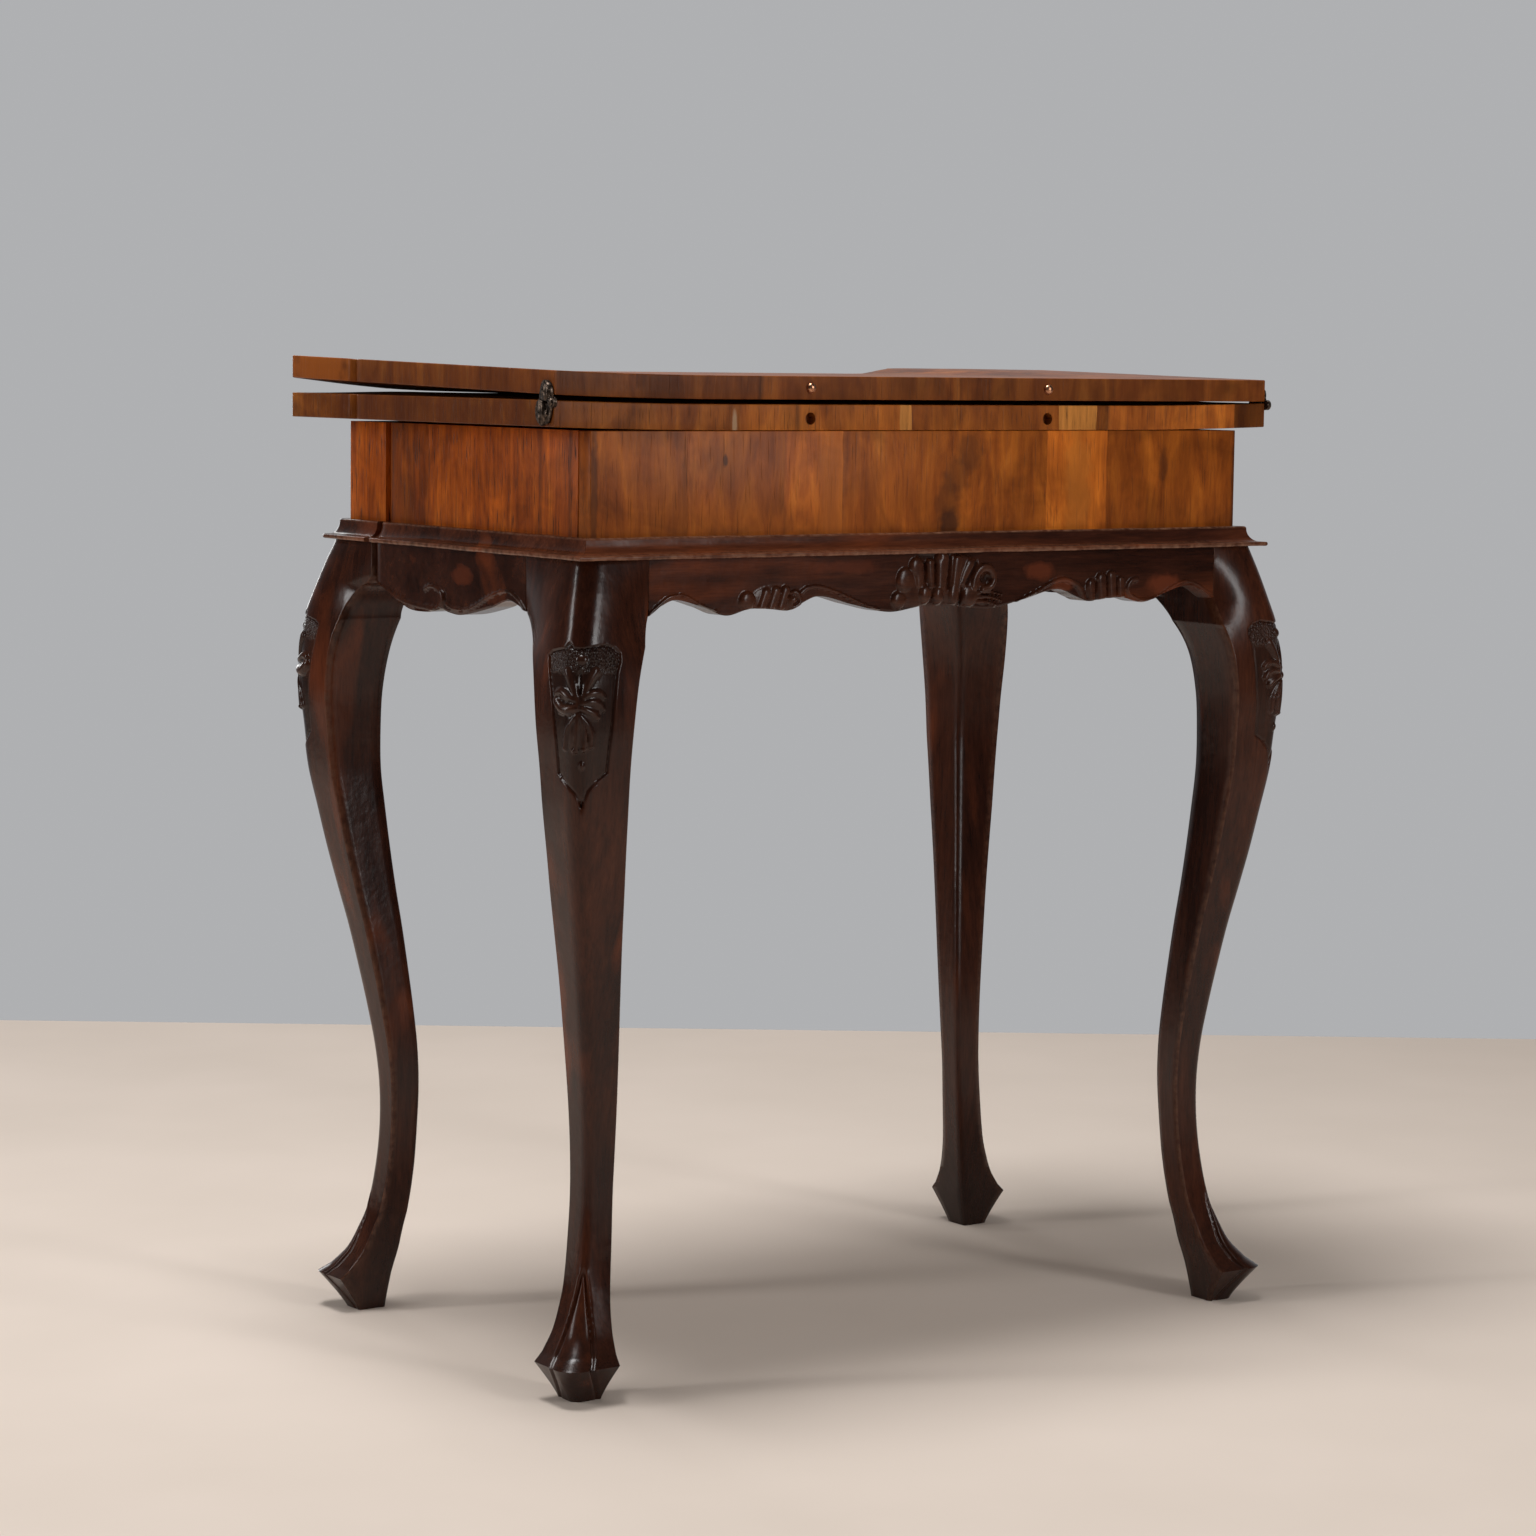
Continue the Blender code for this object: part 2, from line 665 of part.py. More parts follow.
def build_braces(look):
    """Glued braces across the inside corners of the base, behind the legs."""
    top = LEG_HEIGHT - BRACE_DROP
    for name, (turn_x, turn_y) in LEG_CORNERS.items():
        face = BACK_FACE if turn_y > 0 else FRONT_FACE
        blocks = [seam[0] + APRON_INNER + GAP for seam in LEG_SEAMS[name]]
        near = sum(blocks)
        far = near + BRACE_WIDTH * math.sqrt(2)
        shape = [(near, GAP), (far, GAP), (GAP, far), (GAP, near)]
        outline = [(turn_x * (END_FACE + APRON_INNER - p), face + turn_y * (APRON_INNER - q))
                   for p, q in shape]
        prism(f"corner_brace_{name}", outline, top - BRACE_THICKNESS, top, look)


def leaf_outline():
    """Plan outline of a leaf, the same for both."""
    arc = corner_arc(LEAF_END_OUT, LEAF_FRONT_OUT, LEAF_CORNER_ROUND)
    x = END_FACE + LEAF_END_OUT
    right = [(x, BACK_FACE)]
    right += [(x - dent(distance), END_NOTCH + distance) for distance in bump_distances()]
    right += [(x, END_NOTCH)] + arc
    y = FRONT_FACE - LEAF_FRONT_OUT
    front = [(FRONT_NOTCH, y)] + [(place, y + front_draw(place)) for place in front_places()]
    front += [(-FRONT_NOTCH, y)]
    return right + front + [(-x, y) for x, y in reversed(right)]


def curl(x, y, lifts):
    """How far an old board has curled up at a place: its middle stays flat."""
    reach = LEAF_LENGTH / 2 - CURL_START
    outward = max(0.0, abs(x) - CURL_START) / reach
    back_lift, front_lift = lifts[0] if x > 0 else lifts[1]
    part = (BACK_FACE - y) / LEAF_DEPTH
    return outward ** 2 * (back_lift + (front_lift - back_lift) * part)


def leaf(name, bottom, lifts, look):
    """Leaf with its lifts at the right and left end, each at the back and at the front."""
    made = prism(name, leaf_outline(), bottom, bottom + LEAF_THICKNESS, look)
    mesh = bmesh.new()
    mesh.from_mesh(made.data)
    cuts = 4
    reach = LEAF_LENGTH / 2 - CURL_START
    for side in (1, -1):
        for step in range(cuts):
            slice_at(mesh, (side * (CURL_START + reach * step / cuts), 0, 0), (1, 0, 0))
    for step in range(1, cuts):
        slice_at(mesh, (0, BACK_FACE - LEAF_DEPTH * step / cuts, 0), (0, 1, 0))
    for vertex in mesh.verts:
        vertex.co.z += curl(vertex.co.x, vertex.co.y, lifts)
    bmesh.ops.triangulate(mesh, faces=mesh.faces)
    mesh.to_mesh(made.data)
    mesh.free()
    return made


def slice_at(mesh, point, normal):
    everything = mesh.verts[:] + mesh.edges[:] + mesh.faces[:]
    bmesh.ops.bisect_plane(mesh, geom=everything, plane_co=point, plane_no=normal)


def build_leaves(look):
    even = (LOWER_CURL, LOWER_CURL)
    lower = leaf("lower_leaf", LOWER_BOTTOM, (even, even), look)
    upper = leaf("upper_leaf", UPPER_BOTTOM, ((UPPER_CURL_BACK, UPPER_CURL_FRONT), (0.0, 0.0)), look)
    for side in (1, -1):
        stud_x = side * STUD_SPACING / 2
        drill(lower, STUD_HOLE_RADIUS, (stud_x, BACK_FACE, mirror_height(stud_height())), (0, -1, 0),
              STUD_HOLE_DEPTH, look)
        drill(upper, STUD_SHANK_RADIUS + GAP, (stud_x, BACK_FACE, stud_height()), (0, -1, 0),
              STUD_SHANK_LENGTH + GAP, look)
        for target, up in ((lower, -1), (upper, 1)):
            foot = (side * LEAF_LENGTH / 2, HINGE_Y - OVAL_SETBACK, HINGE_Z + up * SCREW_DROP)
            drill(target, SCREW_SHANK_RADIUS + GAP, foot, (-side, 0, 0), SCREW_LENGTH, look, sides=12)
    drill(lower, BOLT_RADIUS + GAP, (PIVOT_X, PIVOT_Y, LOWER_BOTTOM), (0, 0, 1), BOLT_SEAT + GAP, look)
    stop_x, stop_y = stop_place()
    drill(lower, STOP_RADIUS + GAP, (stop_x, stop_y, LOWER_BOTTOM), (0, 0, 1), STOP_SEAT + GAP, look)
    place_on_axis(lower, (PIVOT_X, PIVOT_Y, LOWER_BOTTOM))
    place_on_axis(upper, (0, HINGE_Y, HINGE_Z))


def stud_height():
    return UPPER_BOTTOM + LEAF_THICKNESS / 2


def mirror_height(height):
    """Height that a point reaches when the upper leaf is turned right over."""
    return 2 * HINGE_Z - height


def build_studs(look):
    profile = [(STUD_SHANK_RADIUS, -STUD_SHANK_LENGTH), (STUD_SHANK_RADIUS, GAP), (STUD_RADIUS, GAP)]
    steps = 5
    for step in range(1, steps):
        angle = math.pi / 2 * step / steps
        profile.append((STUD_RADIUS * math.cos(angle), GAP + STUD_PROUD * math.sin(angle)))
    profile.append((STUD_RADIUS / 10, STUD_PROUD + GAP))
    for side_name, side in (("right", 1), ("left", -1)):
        foot = (side * STUD_SPACING / 2, BACK_FACE, stud_height())
        turned(f"alignment_stud_{side_name}", profile, foot, (0, 1, 0), look, sides=20)


def stop_place():
    """The peg meets the back panel when the top is closed and the front panel after a quarter turn."""
    room = STOP_RADIUS + STOP_CLEARANCE
    return PIVOT_X - PIVOT_Y + FRONT_INNER + room, BACK_INNER - room


def build_swivel(wood, iron):
    half = RAIL_WIDTH / 2
    back = BACK_INNER - GAP
    front = FRONT_INNER + GAP
    right = PIVOT_X + half
    left = PIVOT_X - half
    rail = prism("pivot_rail", [(right, back), (right, front), (left, front), (left, back)],
                 RAIL_BOTTOM, RAIL_TOP, wood)
    drill(rail, BOLT_RADIUS + GAP, (PIVOT_X, PIVOT_Y, RAIL_BOTTOM), (0, 0, 1),
          RAIL_THICKNESS + OVERRUN, wood, sides=28)
    washer_top = RAIL_BOTTOM - GAP
    washer_bottom = washer_top - WASHER_THICKNESS
    nut_top = washer_bottom - GAP
    nut_bottom = nut_top - NUT_THICKNESS
    centre = (PIVOT_X, PIVOT_Y)
    bored_ring("pivot_washer", WASHER_RADIUS, BOLT_RADIUS + GAP, centre, washer_bottom, washer_top, iron)
    bored_ring("pivot_nut", NUT_RADIUS, BOLT_RADIUS + GAP, centre, nut_bottom, nut_top, iron,
               sides=36, outer_sides=6)
    bolt_foot = nut_bottom - BOLT_TAIL
    bolt_length = LOWER_BOTTOM + BOLT_SEAT - bolt_foot
    chamfer = BOLT_TAIL / 3
    profile = [(BOLT_RADIUS - chamfer, 0.0), (BOLT_RADIUS, chamfer), (BOLT_RADIUS, bolt_length)]
    turned("pivot_bolt", profile, (*centre, bolt_foot), (0, 0, 1), iron, sides=28)
    stop_x, stop_y = stop_place()
    foot = (stop_x, stop_y, LOWER_BOTTOM - STOP_LENGTH)
    peg = [(STOP_RADIUS, 0.0), (STOP_RADIUS, STOP_LENGTH + STOP_SEAT)]
    turned("swivel_stop", peg, foot, (0, 0, 1), wood, sides=20)


def half_oval():
    """Upper half of the hinge's oval, from the knuckle's side over to the far side."""
    steps = 12
    points = []
    for step in range(steps + 1):
        angle = math.pi * step / steps
        points.append((OVAL_HALF_WIDTH * math.cos(angle) - OVAL_SETBACK,
                       OVAL_HALF_HEIGHT * math.sin(angle) + PLATE_PARTING))
    return points


def knuckle_arc(radius, first, last, steps):
    angles = [first + (last - first) * step / steps for step in range(steps + 1)]
    return [(radius * math.cos(angle), radius * math.sin(angle)) for angle in angles]


def plate_outline():
    """Hinge plate from its axis, along Y and Z: a knuckle round the axis and half an oval."""
    oval = [point for point in half_oval() if math.hypot(*point) > KNUCKLE_RADIUS]
    meeting = math.asin(PLATE_PARTING / KNUCKLE_RADIUS)
    return oval + knuckle_arc(KNUCKLE_RADIUS, math.pi - meeting, KNUCKLE_TURN, KNUCKLE_STEPS)


def foot_outline():
    """Part of the upper plate that fills the lower plate's layer, clear of its knuckle."""
    reach = KNUCKLE_RADIUS + FOOT_CLEARANCE
    oval = [point for point in half_oval() if point[0] < -FOOT_SETBACK]
    low = math.pi - math.asin(PLATE_PARTING / reach)
    high = math.acos(-FOOT_SETBACK / reach)
    return oval + knuckle_arc(reach, low, high, 3)


def on_axis(outline, up):
    return [(HINGE_Y + y, HINGE_Z + up * z) for y, z in outline]


def build_hinges(look):
    inner = LEAF_LENGTH / 2 + GAP
    layer_one = inner + PLATE_THICKNESS
    layer_two = layer_one + GAP
    outer = layer_two + PLATE_THICKNESS
    for side_name, side in (("right", 1), ("left", -1)):
        axis = (side * inner, HINGE_Y, HINGE_Z)
        lower = end_prism(f"hinge_lower_plate_{side_name}", on_axis(plate_outline(), -1),
                          side * inner, side * layer_one, look)
        upper = end_prism(f"hinge_upper_plate_{side_name}", on_axis(plate_outline(), 1),
                          side * layer_two, side * outer, look)
        foot = end_prism(f"hinge_foot_{side_name}", on_axis(foot_outline(), 1),
                         side * inner, side * (layer_two + PLATE_THICKNESS / 4), look)
        join_or_cut(upper, foot, 'UNION')
        hinge_y = HINGE_Y - OVAL_SETBACK
        for plate, up in ((lower, -1), (upper, 1)):
            through = outer - inner + OVERRUN
            hole = (side * inner, hinge_y, HINGE_Z + up * SCREW_DROP)
            drill(plate, HINGE_PIN_RADIUS + GAP, axis, (side, 0, 0), through, look, sides=16)
            drill(plate, SCREW_SHANK_RADIUS + GAP, hole, (side, 0, 0), through, look, sides=12)
        place_on_axis(upper, axis)
        pin = [(HINGE_PIN_RADIUS, 0.0), (HINGE_PIN_RADIUS, outer - inner + GAP),
               (HINGE_HEAD_RADIUS, outer - inner + GAP),
               (HINGE_HEAD_RADIUS * HEAD_TOP_SHARE, outer - inner + GAP + HINGE_HEAD_HEIGHT)]
        turned(f"hinge_pin_{side_name}", pin, axis, (side, 0, 0), look, sides=16)
        for level, up, face in (("lower", -1, layer_one), ("upper", 1, outer)):
            head = face - inner + GAP
            screw = [(SCREW_SHANK_RADIUS, GAP - SCREW_LENGTH), (SCREW_SHANK_RADIUS, head),
                     (SCREW_HEAD_RADIUS, head),
                     (SCREW_HEAD_RADIUS * HEAD_TOP_SHARE, head + SCREW_HEAD_HEIGHT)]
            foot_point = (side * inner, hinge_y, HINGE_Z + up * SCREW_DROP)
            turned(f"hinge_screw_{level}_{side_name}", screw, foot_point, (side, 0, 0), look, sides=12)


def build_table():
    clear_scene()
    stained = material("stained_walnut", (0.060, 0.024, 0.014), 0.38, 0.0)
    veneer = material("walnut_veneer", (0.330, 0.120, 0.035), 0.42, 0.0)
    inside = material("plain_wood", (0.300, 0.170, 0.090), 0.65, 0.0)
    iron = material("dark_iron", (0.060, 0.050, 0.045), 0.50, 0.9)
    copper = material("copper_brass", (0.620, 0.300, 0.160), 0.35, 1.0)
    build_legs(stained)
    build_back_apron(stained)
    build_front_apron(stained)
    build_end_aprons(stained)
    build_mouldings(stained)
    build_braces(inside)
    build_box(veneer, inside)
    build_leaves(veneer)
    build_studs(copper)
    build_swivel(inside, iron)
    build_hinges(iron)


build_table()
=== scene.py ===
"""Looks of the fold over card table: carved legs and aprons, veneers, fittings, stage and camera.

Metres, +Z up, in the frame of the CAD part. Carvings are laid out in millimetres on the surfaces.
"""

import math

import bmesh
import bpy
import numpy as np
from mathutils import Matrix, Vector, noise
from mathutils.geometry import delaunay_2d_cdt


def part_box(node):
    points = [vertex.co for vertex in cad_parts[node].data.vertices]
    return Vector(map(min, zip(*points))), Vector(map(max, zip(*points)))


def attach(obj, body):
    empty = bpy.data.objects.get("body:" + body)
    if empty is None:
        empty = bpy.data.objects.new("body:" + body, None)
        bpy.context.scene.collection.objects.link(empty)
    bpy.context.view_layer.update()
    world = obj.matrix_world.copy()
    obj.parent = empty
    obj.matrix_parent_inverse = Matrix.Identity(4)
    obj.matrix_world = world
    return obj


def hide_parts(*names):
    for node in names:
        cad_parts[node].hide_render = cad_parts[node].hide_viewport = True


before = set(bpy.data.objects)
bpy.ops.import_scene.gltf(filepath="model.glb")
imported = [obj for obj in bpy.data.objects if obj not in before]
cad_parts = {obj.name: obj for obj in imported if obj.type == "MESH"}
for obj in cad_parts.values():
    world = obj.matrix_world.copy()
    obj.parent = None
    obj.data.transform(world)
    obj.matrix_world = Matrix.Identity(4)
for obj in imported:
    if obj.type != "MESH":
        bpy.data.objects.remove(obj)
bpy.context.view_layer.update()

MM = 0.001

# Sizes read from the frame
END_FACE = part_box("box_right")[1].x
BACK_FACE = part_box("box_back")[1].y
FRONT_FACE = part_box("box_front")[0].y
BOX_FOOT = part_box("box_back")[0].z
LEG_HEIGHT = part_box("leg_back_right")[1].z
LEAF_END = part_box("lower_leaf")[1].x
LEAF_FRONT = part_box("lower_leaf")[0].y
LOWER_LEAF_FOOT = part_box("lower_leaf")[0].z
UPPER_LEAF_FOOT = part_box("upper_leaf")[0].z
MOULDING_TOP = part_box("moulding_back")[1].z
LIP_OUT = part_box("moulding_right")[1].x - END_FACE

# Plan shape, the same as the part's
GAP = 0.0003
FRONT_BLOCK = 0.0590
NOTCH_DEPTH = 0.0070
BUMP_LENGTH = 0.0160
FRONT_HOLLOW = 0.0080
CORNER_ROUND = 0.0015
CORNER_GROWTH_SHARE = 0.7
LEAST_ROUND = 0.0010
LEAF_CORNER_ROUND = 0.0050
CORNER_STEPS = 12
BUMP_STEPS = 12
MOULDING_STEP = 0.0120
LEAF_STEP = 0.0100
END_NOTCH = FRONT_FACE + FRONT_BLOCK
FRONT_NOTCH = END_FACE - FRONT_BLOCK

# Moulding section, and how far its surface wavers
LIP_THICKNESS = 0.0035
COVE_FOOT = 0.0158
LEDGE_OUT = 0.0078
LIP_EDGE = 0.0012
LEDGE_EDGE = 0.0018
LIP_STEPS = 7
COVE_STEPS = 10
LEDGE_STEPS = 4
BACK_MOULDING_STEPS = 56
MOULDING_WAVER = 0.0004
WAVER_FREQUENCY = 38
WAVER_UPRIGHT_SHARE = 0.4
WAVER_SEED = 1

# Aprons
BASE_OUT = 0.0126
APRON_THICKNESS = 0.0200
APRON_DROP = 0.0480
APRON_EDGE = 0.0012
APRON_ROWS = 44
APRON_STEP = 0.0008
FINE_STEP = 0.0005
FINE_HALF = 0.0620
FULL_APRON_WEAR = 8.0
MOST_APRON_WEAR = 0.4

# Cabriole legs
KNEE_REACH = 0.0346
KNEE_SIDE = 0.0600
KNEE_ROUND = 0.0240
ROUND_POWER = 2.0
KNEE_POWER = 3.0
FACE_CROWN = 0.0012
ARRIS = 0.0012
SEAM_ARRIS = 0.0001
SOLE_SIDE = 0.0250
SOLE_OUT = 0.0057
SOLE_ROUND = 0.0070
SOLE_STEPS = 12
SOLE_BEND = 1.15
RIM_HEIGHT = 0.0290
RIM_SIDE = 0.0488
RIM_OUT = 0.0255
RIM_ROUND = 0.0180
PETAL_LENGTH = 0.0710
PETAL_TOP = RIM_HEIGHT + PETAL_LENGTH
PETAL_SHARE = 1.25
ARCH_FOOT = LEG_HEIGHT - 0.0642
LEAN_START_SHARE = 0.7
BACK_ARCH_RISE = 0.0220
FRONT_ARCH_RISE = 0.0320
DRAW_BELOW_ARCH = 0.0450
DARK_FOOT = 0.0900
FACE_STEPS = 56
ARC_STEPS = 32
INNER_STEPS = 5

# Distance from the corner that inner points are given, beyond the reach of the carving
HIDDEN = 1.0

# Rings of a leg: where each stretch starts and ends, and how close they stand
PETAL_RINGS_TO = PETAL_TOP + 0.0120
SHAFT_RINGS_TO = 0.4520
KNEE_RINGS_FROM = 0.4560
KNEE_RINGS_TO = LEG_HEIGHT - 0.0460
ARCH_RINGS_FROM = LEG_HEIGHT - 0.0450
PETAL_RING_STEP = 0.0012
SHAFT_RING_STEP = 0.0050
SHAFT_RING_START = 0.0040
KNEE_RING_STEP = 0.00075
ARCH_RING_STEP = 0.0015

# Carving of the knees, in millimetres: form of its domes, slope and rim of the panel, and its shades: painted
# shade in the sunk panel and along its rim, and wear on the ridges
KNEE_FLATNESS = 2.0
KNEE_STEEPNESS = 0.8
PANEL_SLOPE = 1.2
RIM_CUT_HALF = 0.8
RIM_SHADE_HALF = 0.9
FULL_RISE = 3.0
RIDGE_WEAR = 0.35
RIDGE_LIGHT = 0.5
PUNCHED_RISE = 0.2
PUNCHED_TOP_FADE = 3
PUNCHED_FOOT_FADE = 6

# Petals of the feet, in millimetres
PETAL_GROOVE = 2.4
PETAL_LIP = 0.9
PETAL_LIP_OUT = 2.2
PETAL_CROWN = 1.2
PETAL_SPREAD_POWER = 0.95
PETAL_FADE_SHARE = 6
GROOVE_HALF = 0.7
GROOVE_GROWTH = 0.9
SOLE_PETAL_SHARE = 0.35

# Leaves
LEAF_THICKNESS = 0.0180
LOWER_CURL = 0.0024
UPPER_CURL_BACK = 0.0028
UPPER_CURL_FRONT = 0.0110
CURL_START = 0.1900
LEAF_EDGE = 0.0009
LEAF_EDGE_STEPS = 4
LEAF_GRID = 0.0120
LOWER_EXTRA = 0.0018
LEAF_CROWN = 0.0035
CROWN_REACH = 0.0750
EAR_SWEEP = 0.0060
EAR_LIFT = 0.0053
EAR_START = 0.2260
EAR_RISE = 0.0400
EAR_SHARE = 0.72
EDGE_WAVE = 0.00035
WAVE_FREQUENCY = 26
WAVE_HEIGHT_FREQUENCY = 90

# Studs of the upper leaf and their holes in the lower one
STUD_SPACING = 0.2340
STUD_HOLE_RADIUS = 0.0048
STUD_HOLE_DEPTH = 0.0080
CUTTER_START = -0.0020
STUD_SHANK_SHARE = 0.6
STUD_SHANK_LENGTH = 0.0060
STUD_RIM_SHARE = 0.12
STUD_STEPS = 9

# Domed ovals of the hinges: centre from the hinge's axis along Y and Z, half width and half
# height, how far out the rim stands, and how far the dome rises
HINGE_DOMES = {
    "lower": ((-0.0155, -0.0068), (0.0066, 0.0112), 0.0004, 0.0044),
    "upper": ((-0.0080, 0.0078), (0.0064, 0.0074), 0.0020, 0.0030),
}
DOME_REACHES = (1.0, 0.985, 0.95, 0.89, 0.8, 0.68, 0.52, 0.34, 0.15)
DOME_SIDES = 36
DOME_RIB_SHARE = 0.08

# Rounding of sawn and forged edges, and angles beyond which an edge stays sharp
WOOD_BEVEL = 0.0006
BRACE_BEVEL = 0.0008
IRON_BEVEL = 0.0003
PLATE_BEVEL = 0.00045
BEVELLED_ANGLE = math.radians(28)
CARVED_ANGLE = math.radians(50)
DRESSED_ANGLE = math.radians(45)
TURNED_ANGLE = math.radians(40)

# Stage and camera
FLOOR_FAR = 1.36
FLOOR_SIZE = 6.0
FLOOR_TONES = [(0.3, (0.67, 0.58, 0.505)), (0.7, (0.71, 0.615, 0.54))]
CAMERA_PLACE = Vector((1.92025, 2.7094, 0.793))
CAMERA_YAW = 0.6112
CAMERA_PITCH = 0.1027
CAMERA_ROLL = 0.0124
CAMERA_LENS = 94.03
CAMERA_SENSOR = 36
AHEAD = Vector((-math.sin(CAMERA_YAW), -math.cos(CAMERA_YAW), 0.0))
SIDEWAYS = Vector((-math.cos(CAMERA_YAW), math.sin(CAMERA_YAW), 0.0))
UPWARDS = Vector((0.0, 0.0, 1.0))

# Light: a lamp's steps sideways, ahead and up as the camera looks, its width and height, and its watts
WALL_COLOUR = (0.430, 0.435, 0.446, 1.0)
ROOM_LIGHT = (1.0, 0.95, 0.91, 1.0)
ROOM_STRENGTH = 0.20
MIRRORED_WALL = [(0.42, 0.10), (0.95, 1.0)]
LIT_PLACE = Vector((0.0, 0.0, 0.45))
LAMPS = {
    "top": ((-0.45, -0.15, 3.1), (1.0, 1.0), 69),
    "left": ((-2.5, -0.75, 1.3), (0.32, 1.4), 19),
    "right": ((2.1, -1.7, 1.3), (0.45, 1.4), 20),
    "rim": ((-1.5, 2.6, 1.3), (0.4, 1.6), 9),
}

# Stain and bare wood. A stop of a ramp is a place and a colour or a grey.
ALONG_X = 0
ALONG_Y = 1
UPRIGHT = 2
STAIN_DARK = [(0.25, (0.011, 0.0030, 0.0016)), (0.55, (0.025, 0.0065, 0.0030)),
              (0.8, (0.042, 0.0120, 0.0050))]
STAIN_WARM = [(0.25, (0.036, 0.0088, 0.0032)), (0.6, (0.072, 0.0185, 0.0068)),
              (0.85, (0.110, 0.0310, 0.0110))]
STAIN_SPOT = (0.135, 0.031, 0.009, 1.0)
# Dark brown painted as shade into the sunk panels, rims and cuts of the carving; the feet also darken to it
# towards the bottom
PAINTED_SHADE_AND_DARK_FEET = (0.013, 0.0075, 0.0055, 1.0)
STAIN_SPECULAR = 0.28
RUB = (0.110, 0.045, 0.025)
# Bright colour of the mouldings' edges: their wear, and painted glints along them
RUB_AND_PAINTED_GLINT = (0.30, 0.15, 0.09)
BARE_WOOD = [(0.3, (0.17, 0.085, 0.040)), (0.6, (0.30, 0.165, 0.085)), (0.8, (0.36, 0.21, 0.115))]

# Veneer
FIGURE_TONES = [(0.25, (0.120, 0.027, 0.005)), (0.45, (0.205, 0.052, 0.008)),
                (0.60, (0.275, 0.076, 0.011)), (0.78, (0.360, 0.115, 0.018))]
PORE = (0.030, 0.010, 0.004, 1.0)
JOINT = (0.022, 0.009, 0.005, 1.0)
JOINT_HALF = 0.0009
KNOT = (0.050, 0.016, 0.007)
PALE_WOOD = (0.68, 0.27, 0.055)
FILLER = (0.66, 0.27, 0.060)
RED_WOOD = (0.075, 0.015, 0.003)
REDDISH = (0.150, 0.034, 0.012)
FLECKS = (0.40, 0.25, 0.16)

# Metals
IRON_TONES = [(0.35, (0.022, 0.015, 0.011)), (0.55, (0.085, 0.060, 0.045)), (0.75, (0.300, 0.220, 0.170))]
COPPER_TONES = [(0.35, (0.40, 0.17, 0.09)), (0.6, (0.66, 0.34, 0.20))]

# A patch of veneer is its start, as a share of a metre from minus a half, and its tone from 0 to 1.
# A strip is its start, its finish, its colour and how much of it shows.
# A mark is its centre, its half sizes, its colour and how much of it shows.
BOX_PATCHES = [(0.0, 0.46), (0.319, 0.82), (0.381, 0.50), (0.583, 0.78), (0.640, 0.50), (0.728, 0.42)]
BOX_MARKS = [
    ((-0.150, 0.187, 0.690), (0.017, 0.05, 0.060), (0.52, 0.170, 0.024), 0.55),
    ((0.095, 0.187, 0.690), (0.016, 0.05, 0.055), (0.42, 0.125, 0.020), 0.5),
    ((-0.038, 0.187, 0.718), (0.016, 0.05, 0.020), KNOT, 0.45),
    ((-0.027, 0.187, 0.700), (0.014, 0.05, 0.021), KNOT, 0.45),
    ((-0.017, 0.187, 0.682), (0.013, 0.05, 0.022), KNOT, 0.50),
    ((-0.019, 0.187, 0.661), (0.013, 0.05, 0.015), KNOT, 0.80),
    ((0.196, 0.187, 0.712), (0.003, 0.05, 0.006), KNOT, 0.8),
    ((-0.2395, 0.187, 0.706), (0.006, 0.05, 0.020), KNOT, 0.5),
    ((0.314, 0.187, 0.69), (0.004, 0.05, 0.08), KNOT, 0.6),
    ((-0.3174, 0.187, 0.69), (0.004, 0.05, 0.08), KNOT, 0.7),
]
APRON_MARKS = [
    ((-0.1019, 0.2, 0.6223), (0.018, 0.05, 0.009), REDDISH, 0.6),
    ((-0.1249, 0.2, 0.6113), (0.014, 0.05, 0.008), REDDISH, 0.6),
    ((-0.2336, 0.2, 0.6100), (0.022, 0.05, 0.010), REDDISH, 0.7),
    ((0.0900, 0.2, 0.6300), (0.040, 0.05, 0.006), REDDISH, 0.4),
    ((0.3300, 0.0228, 0.6198), (0.05, 0.020, 0.009), REDDISH, 0.5),
]
END_PATCHES = [(0.0, 0.70), (0.380, 0.32), (0.405, 0.24), (0.425, 0.38), (0.447, 0.68), (0.617, 0.84),
               (0.660, 0.66)]
END_STRIPS = [(0.6860, 0.6872, FLECKS, 0.55)]
UPPER_PATCHES = [(0.0, 0.46), (0.31, 0.38), (0.472, 0.46), (0.664, 0.36), (0.775, 0.26), (0.846, 0.33)]
UPPER_MARKS = [
    ((0.354, 0.0, 0.765), (0.010, 0.30, 0.06), RED_WOOD, 0.3),
    ((0.35, -0.172, 0.77), (0.03, 0.062, 0.06), (0.32, 0.085, 0.010), 0.7),
]
LOWER_PATCHES = [(0.0, 0.12), (0.182, 0.82), (0.320, 0.34), (0.370, 0.52), (0.528, 0.70),
                 (0.629, 0.72), (0.683, 0.34), (0.774, 0.26), (0.846, 0.17)]
LOWER_STRIPS = [(0.3285, 0.370, PALE_WOOD, 0.9), (0.5193, 0.5281, FILLER, 0.9)]
LOWER_MARKS = [
    ((0.1876, 0.187, 0.742), (0.0030, 0.05, 0.012), (0.42, 0.27, 0.16), 0.85),
    ((0.354, 0.0, 0.745), (0.010, 0.30, 0.06), RED_WOOD, 0.55),
]
FACE_PATCHES = [(0.0, 0.45), (0.5, 0.55)]

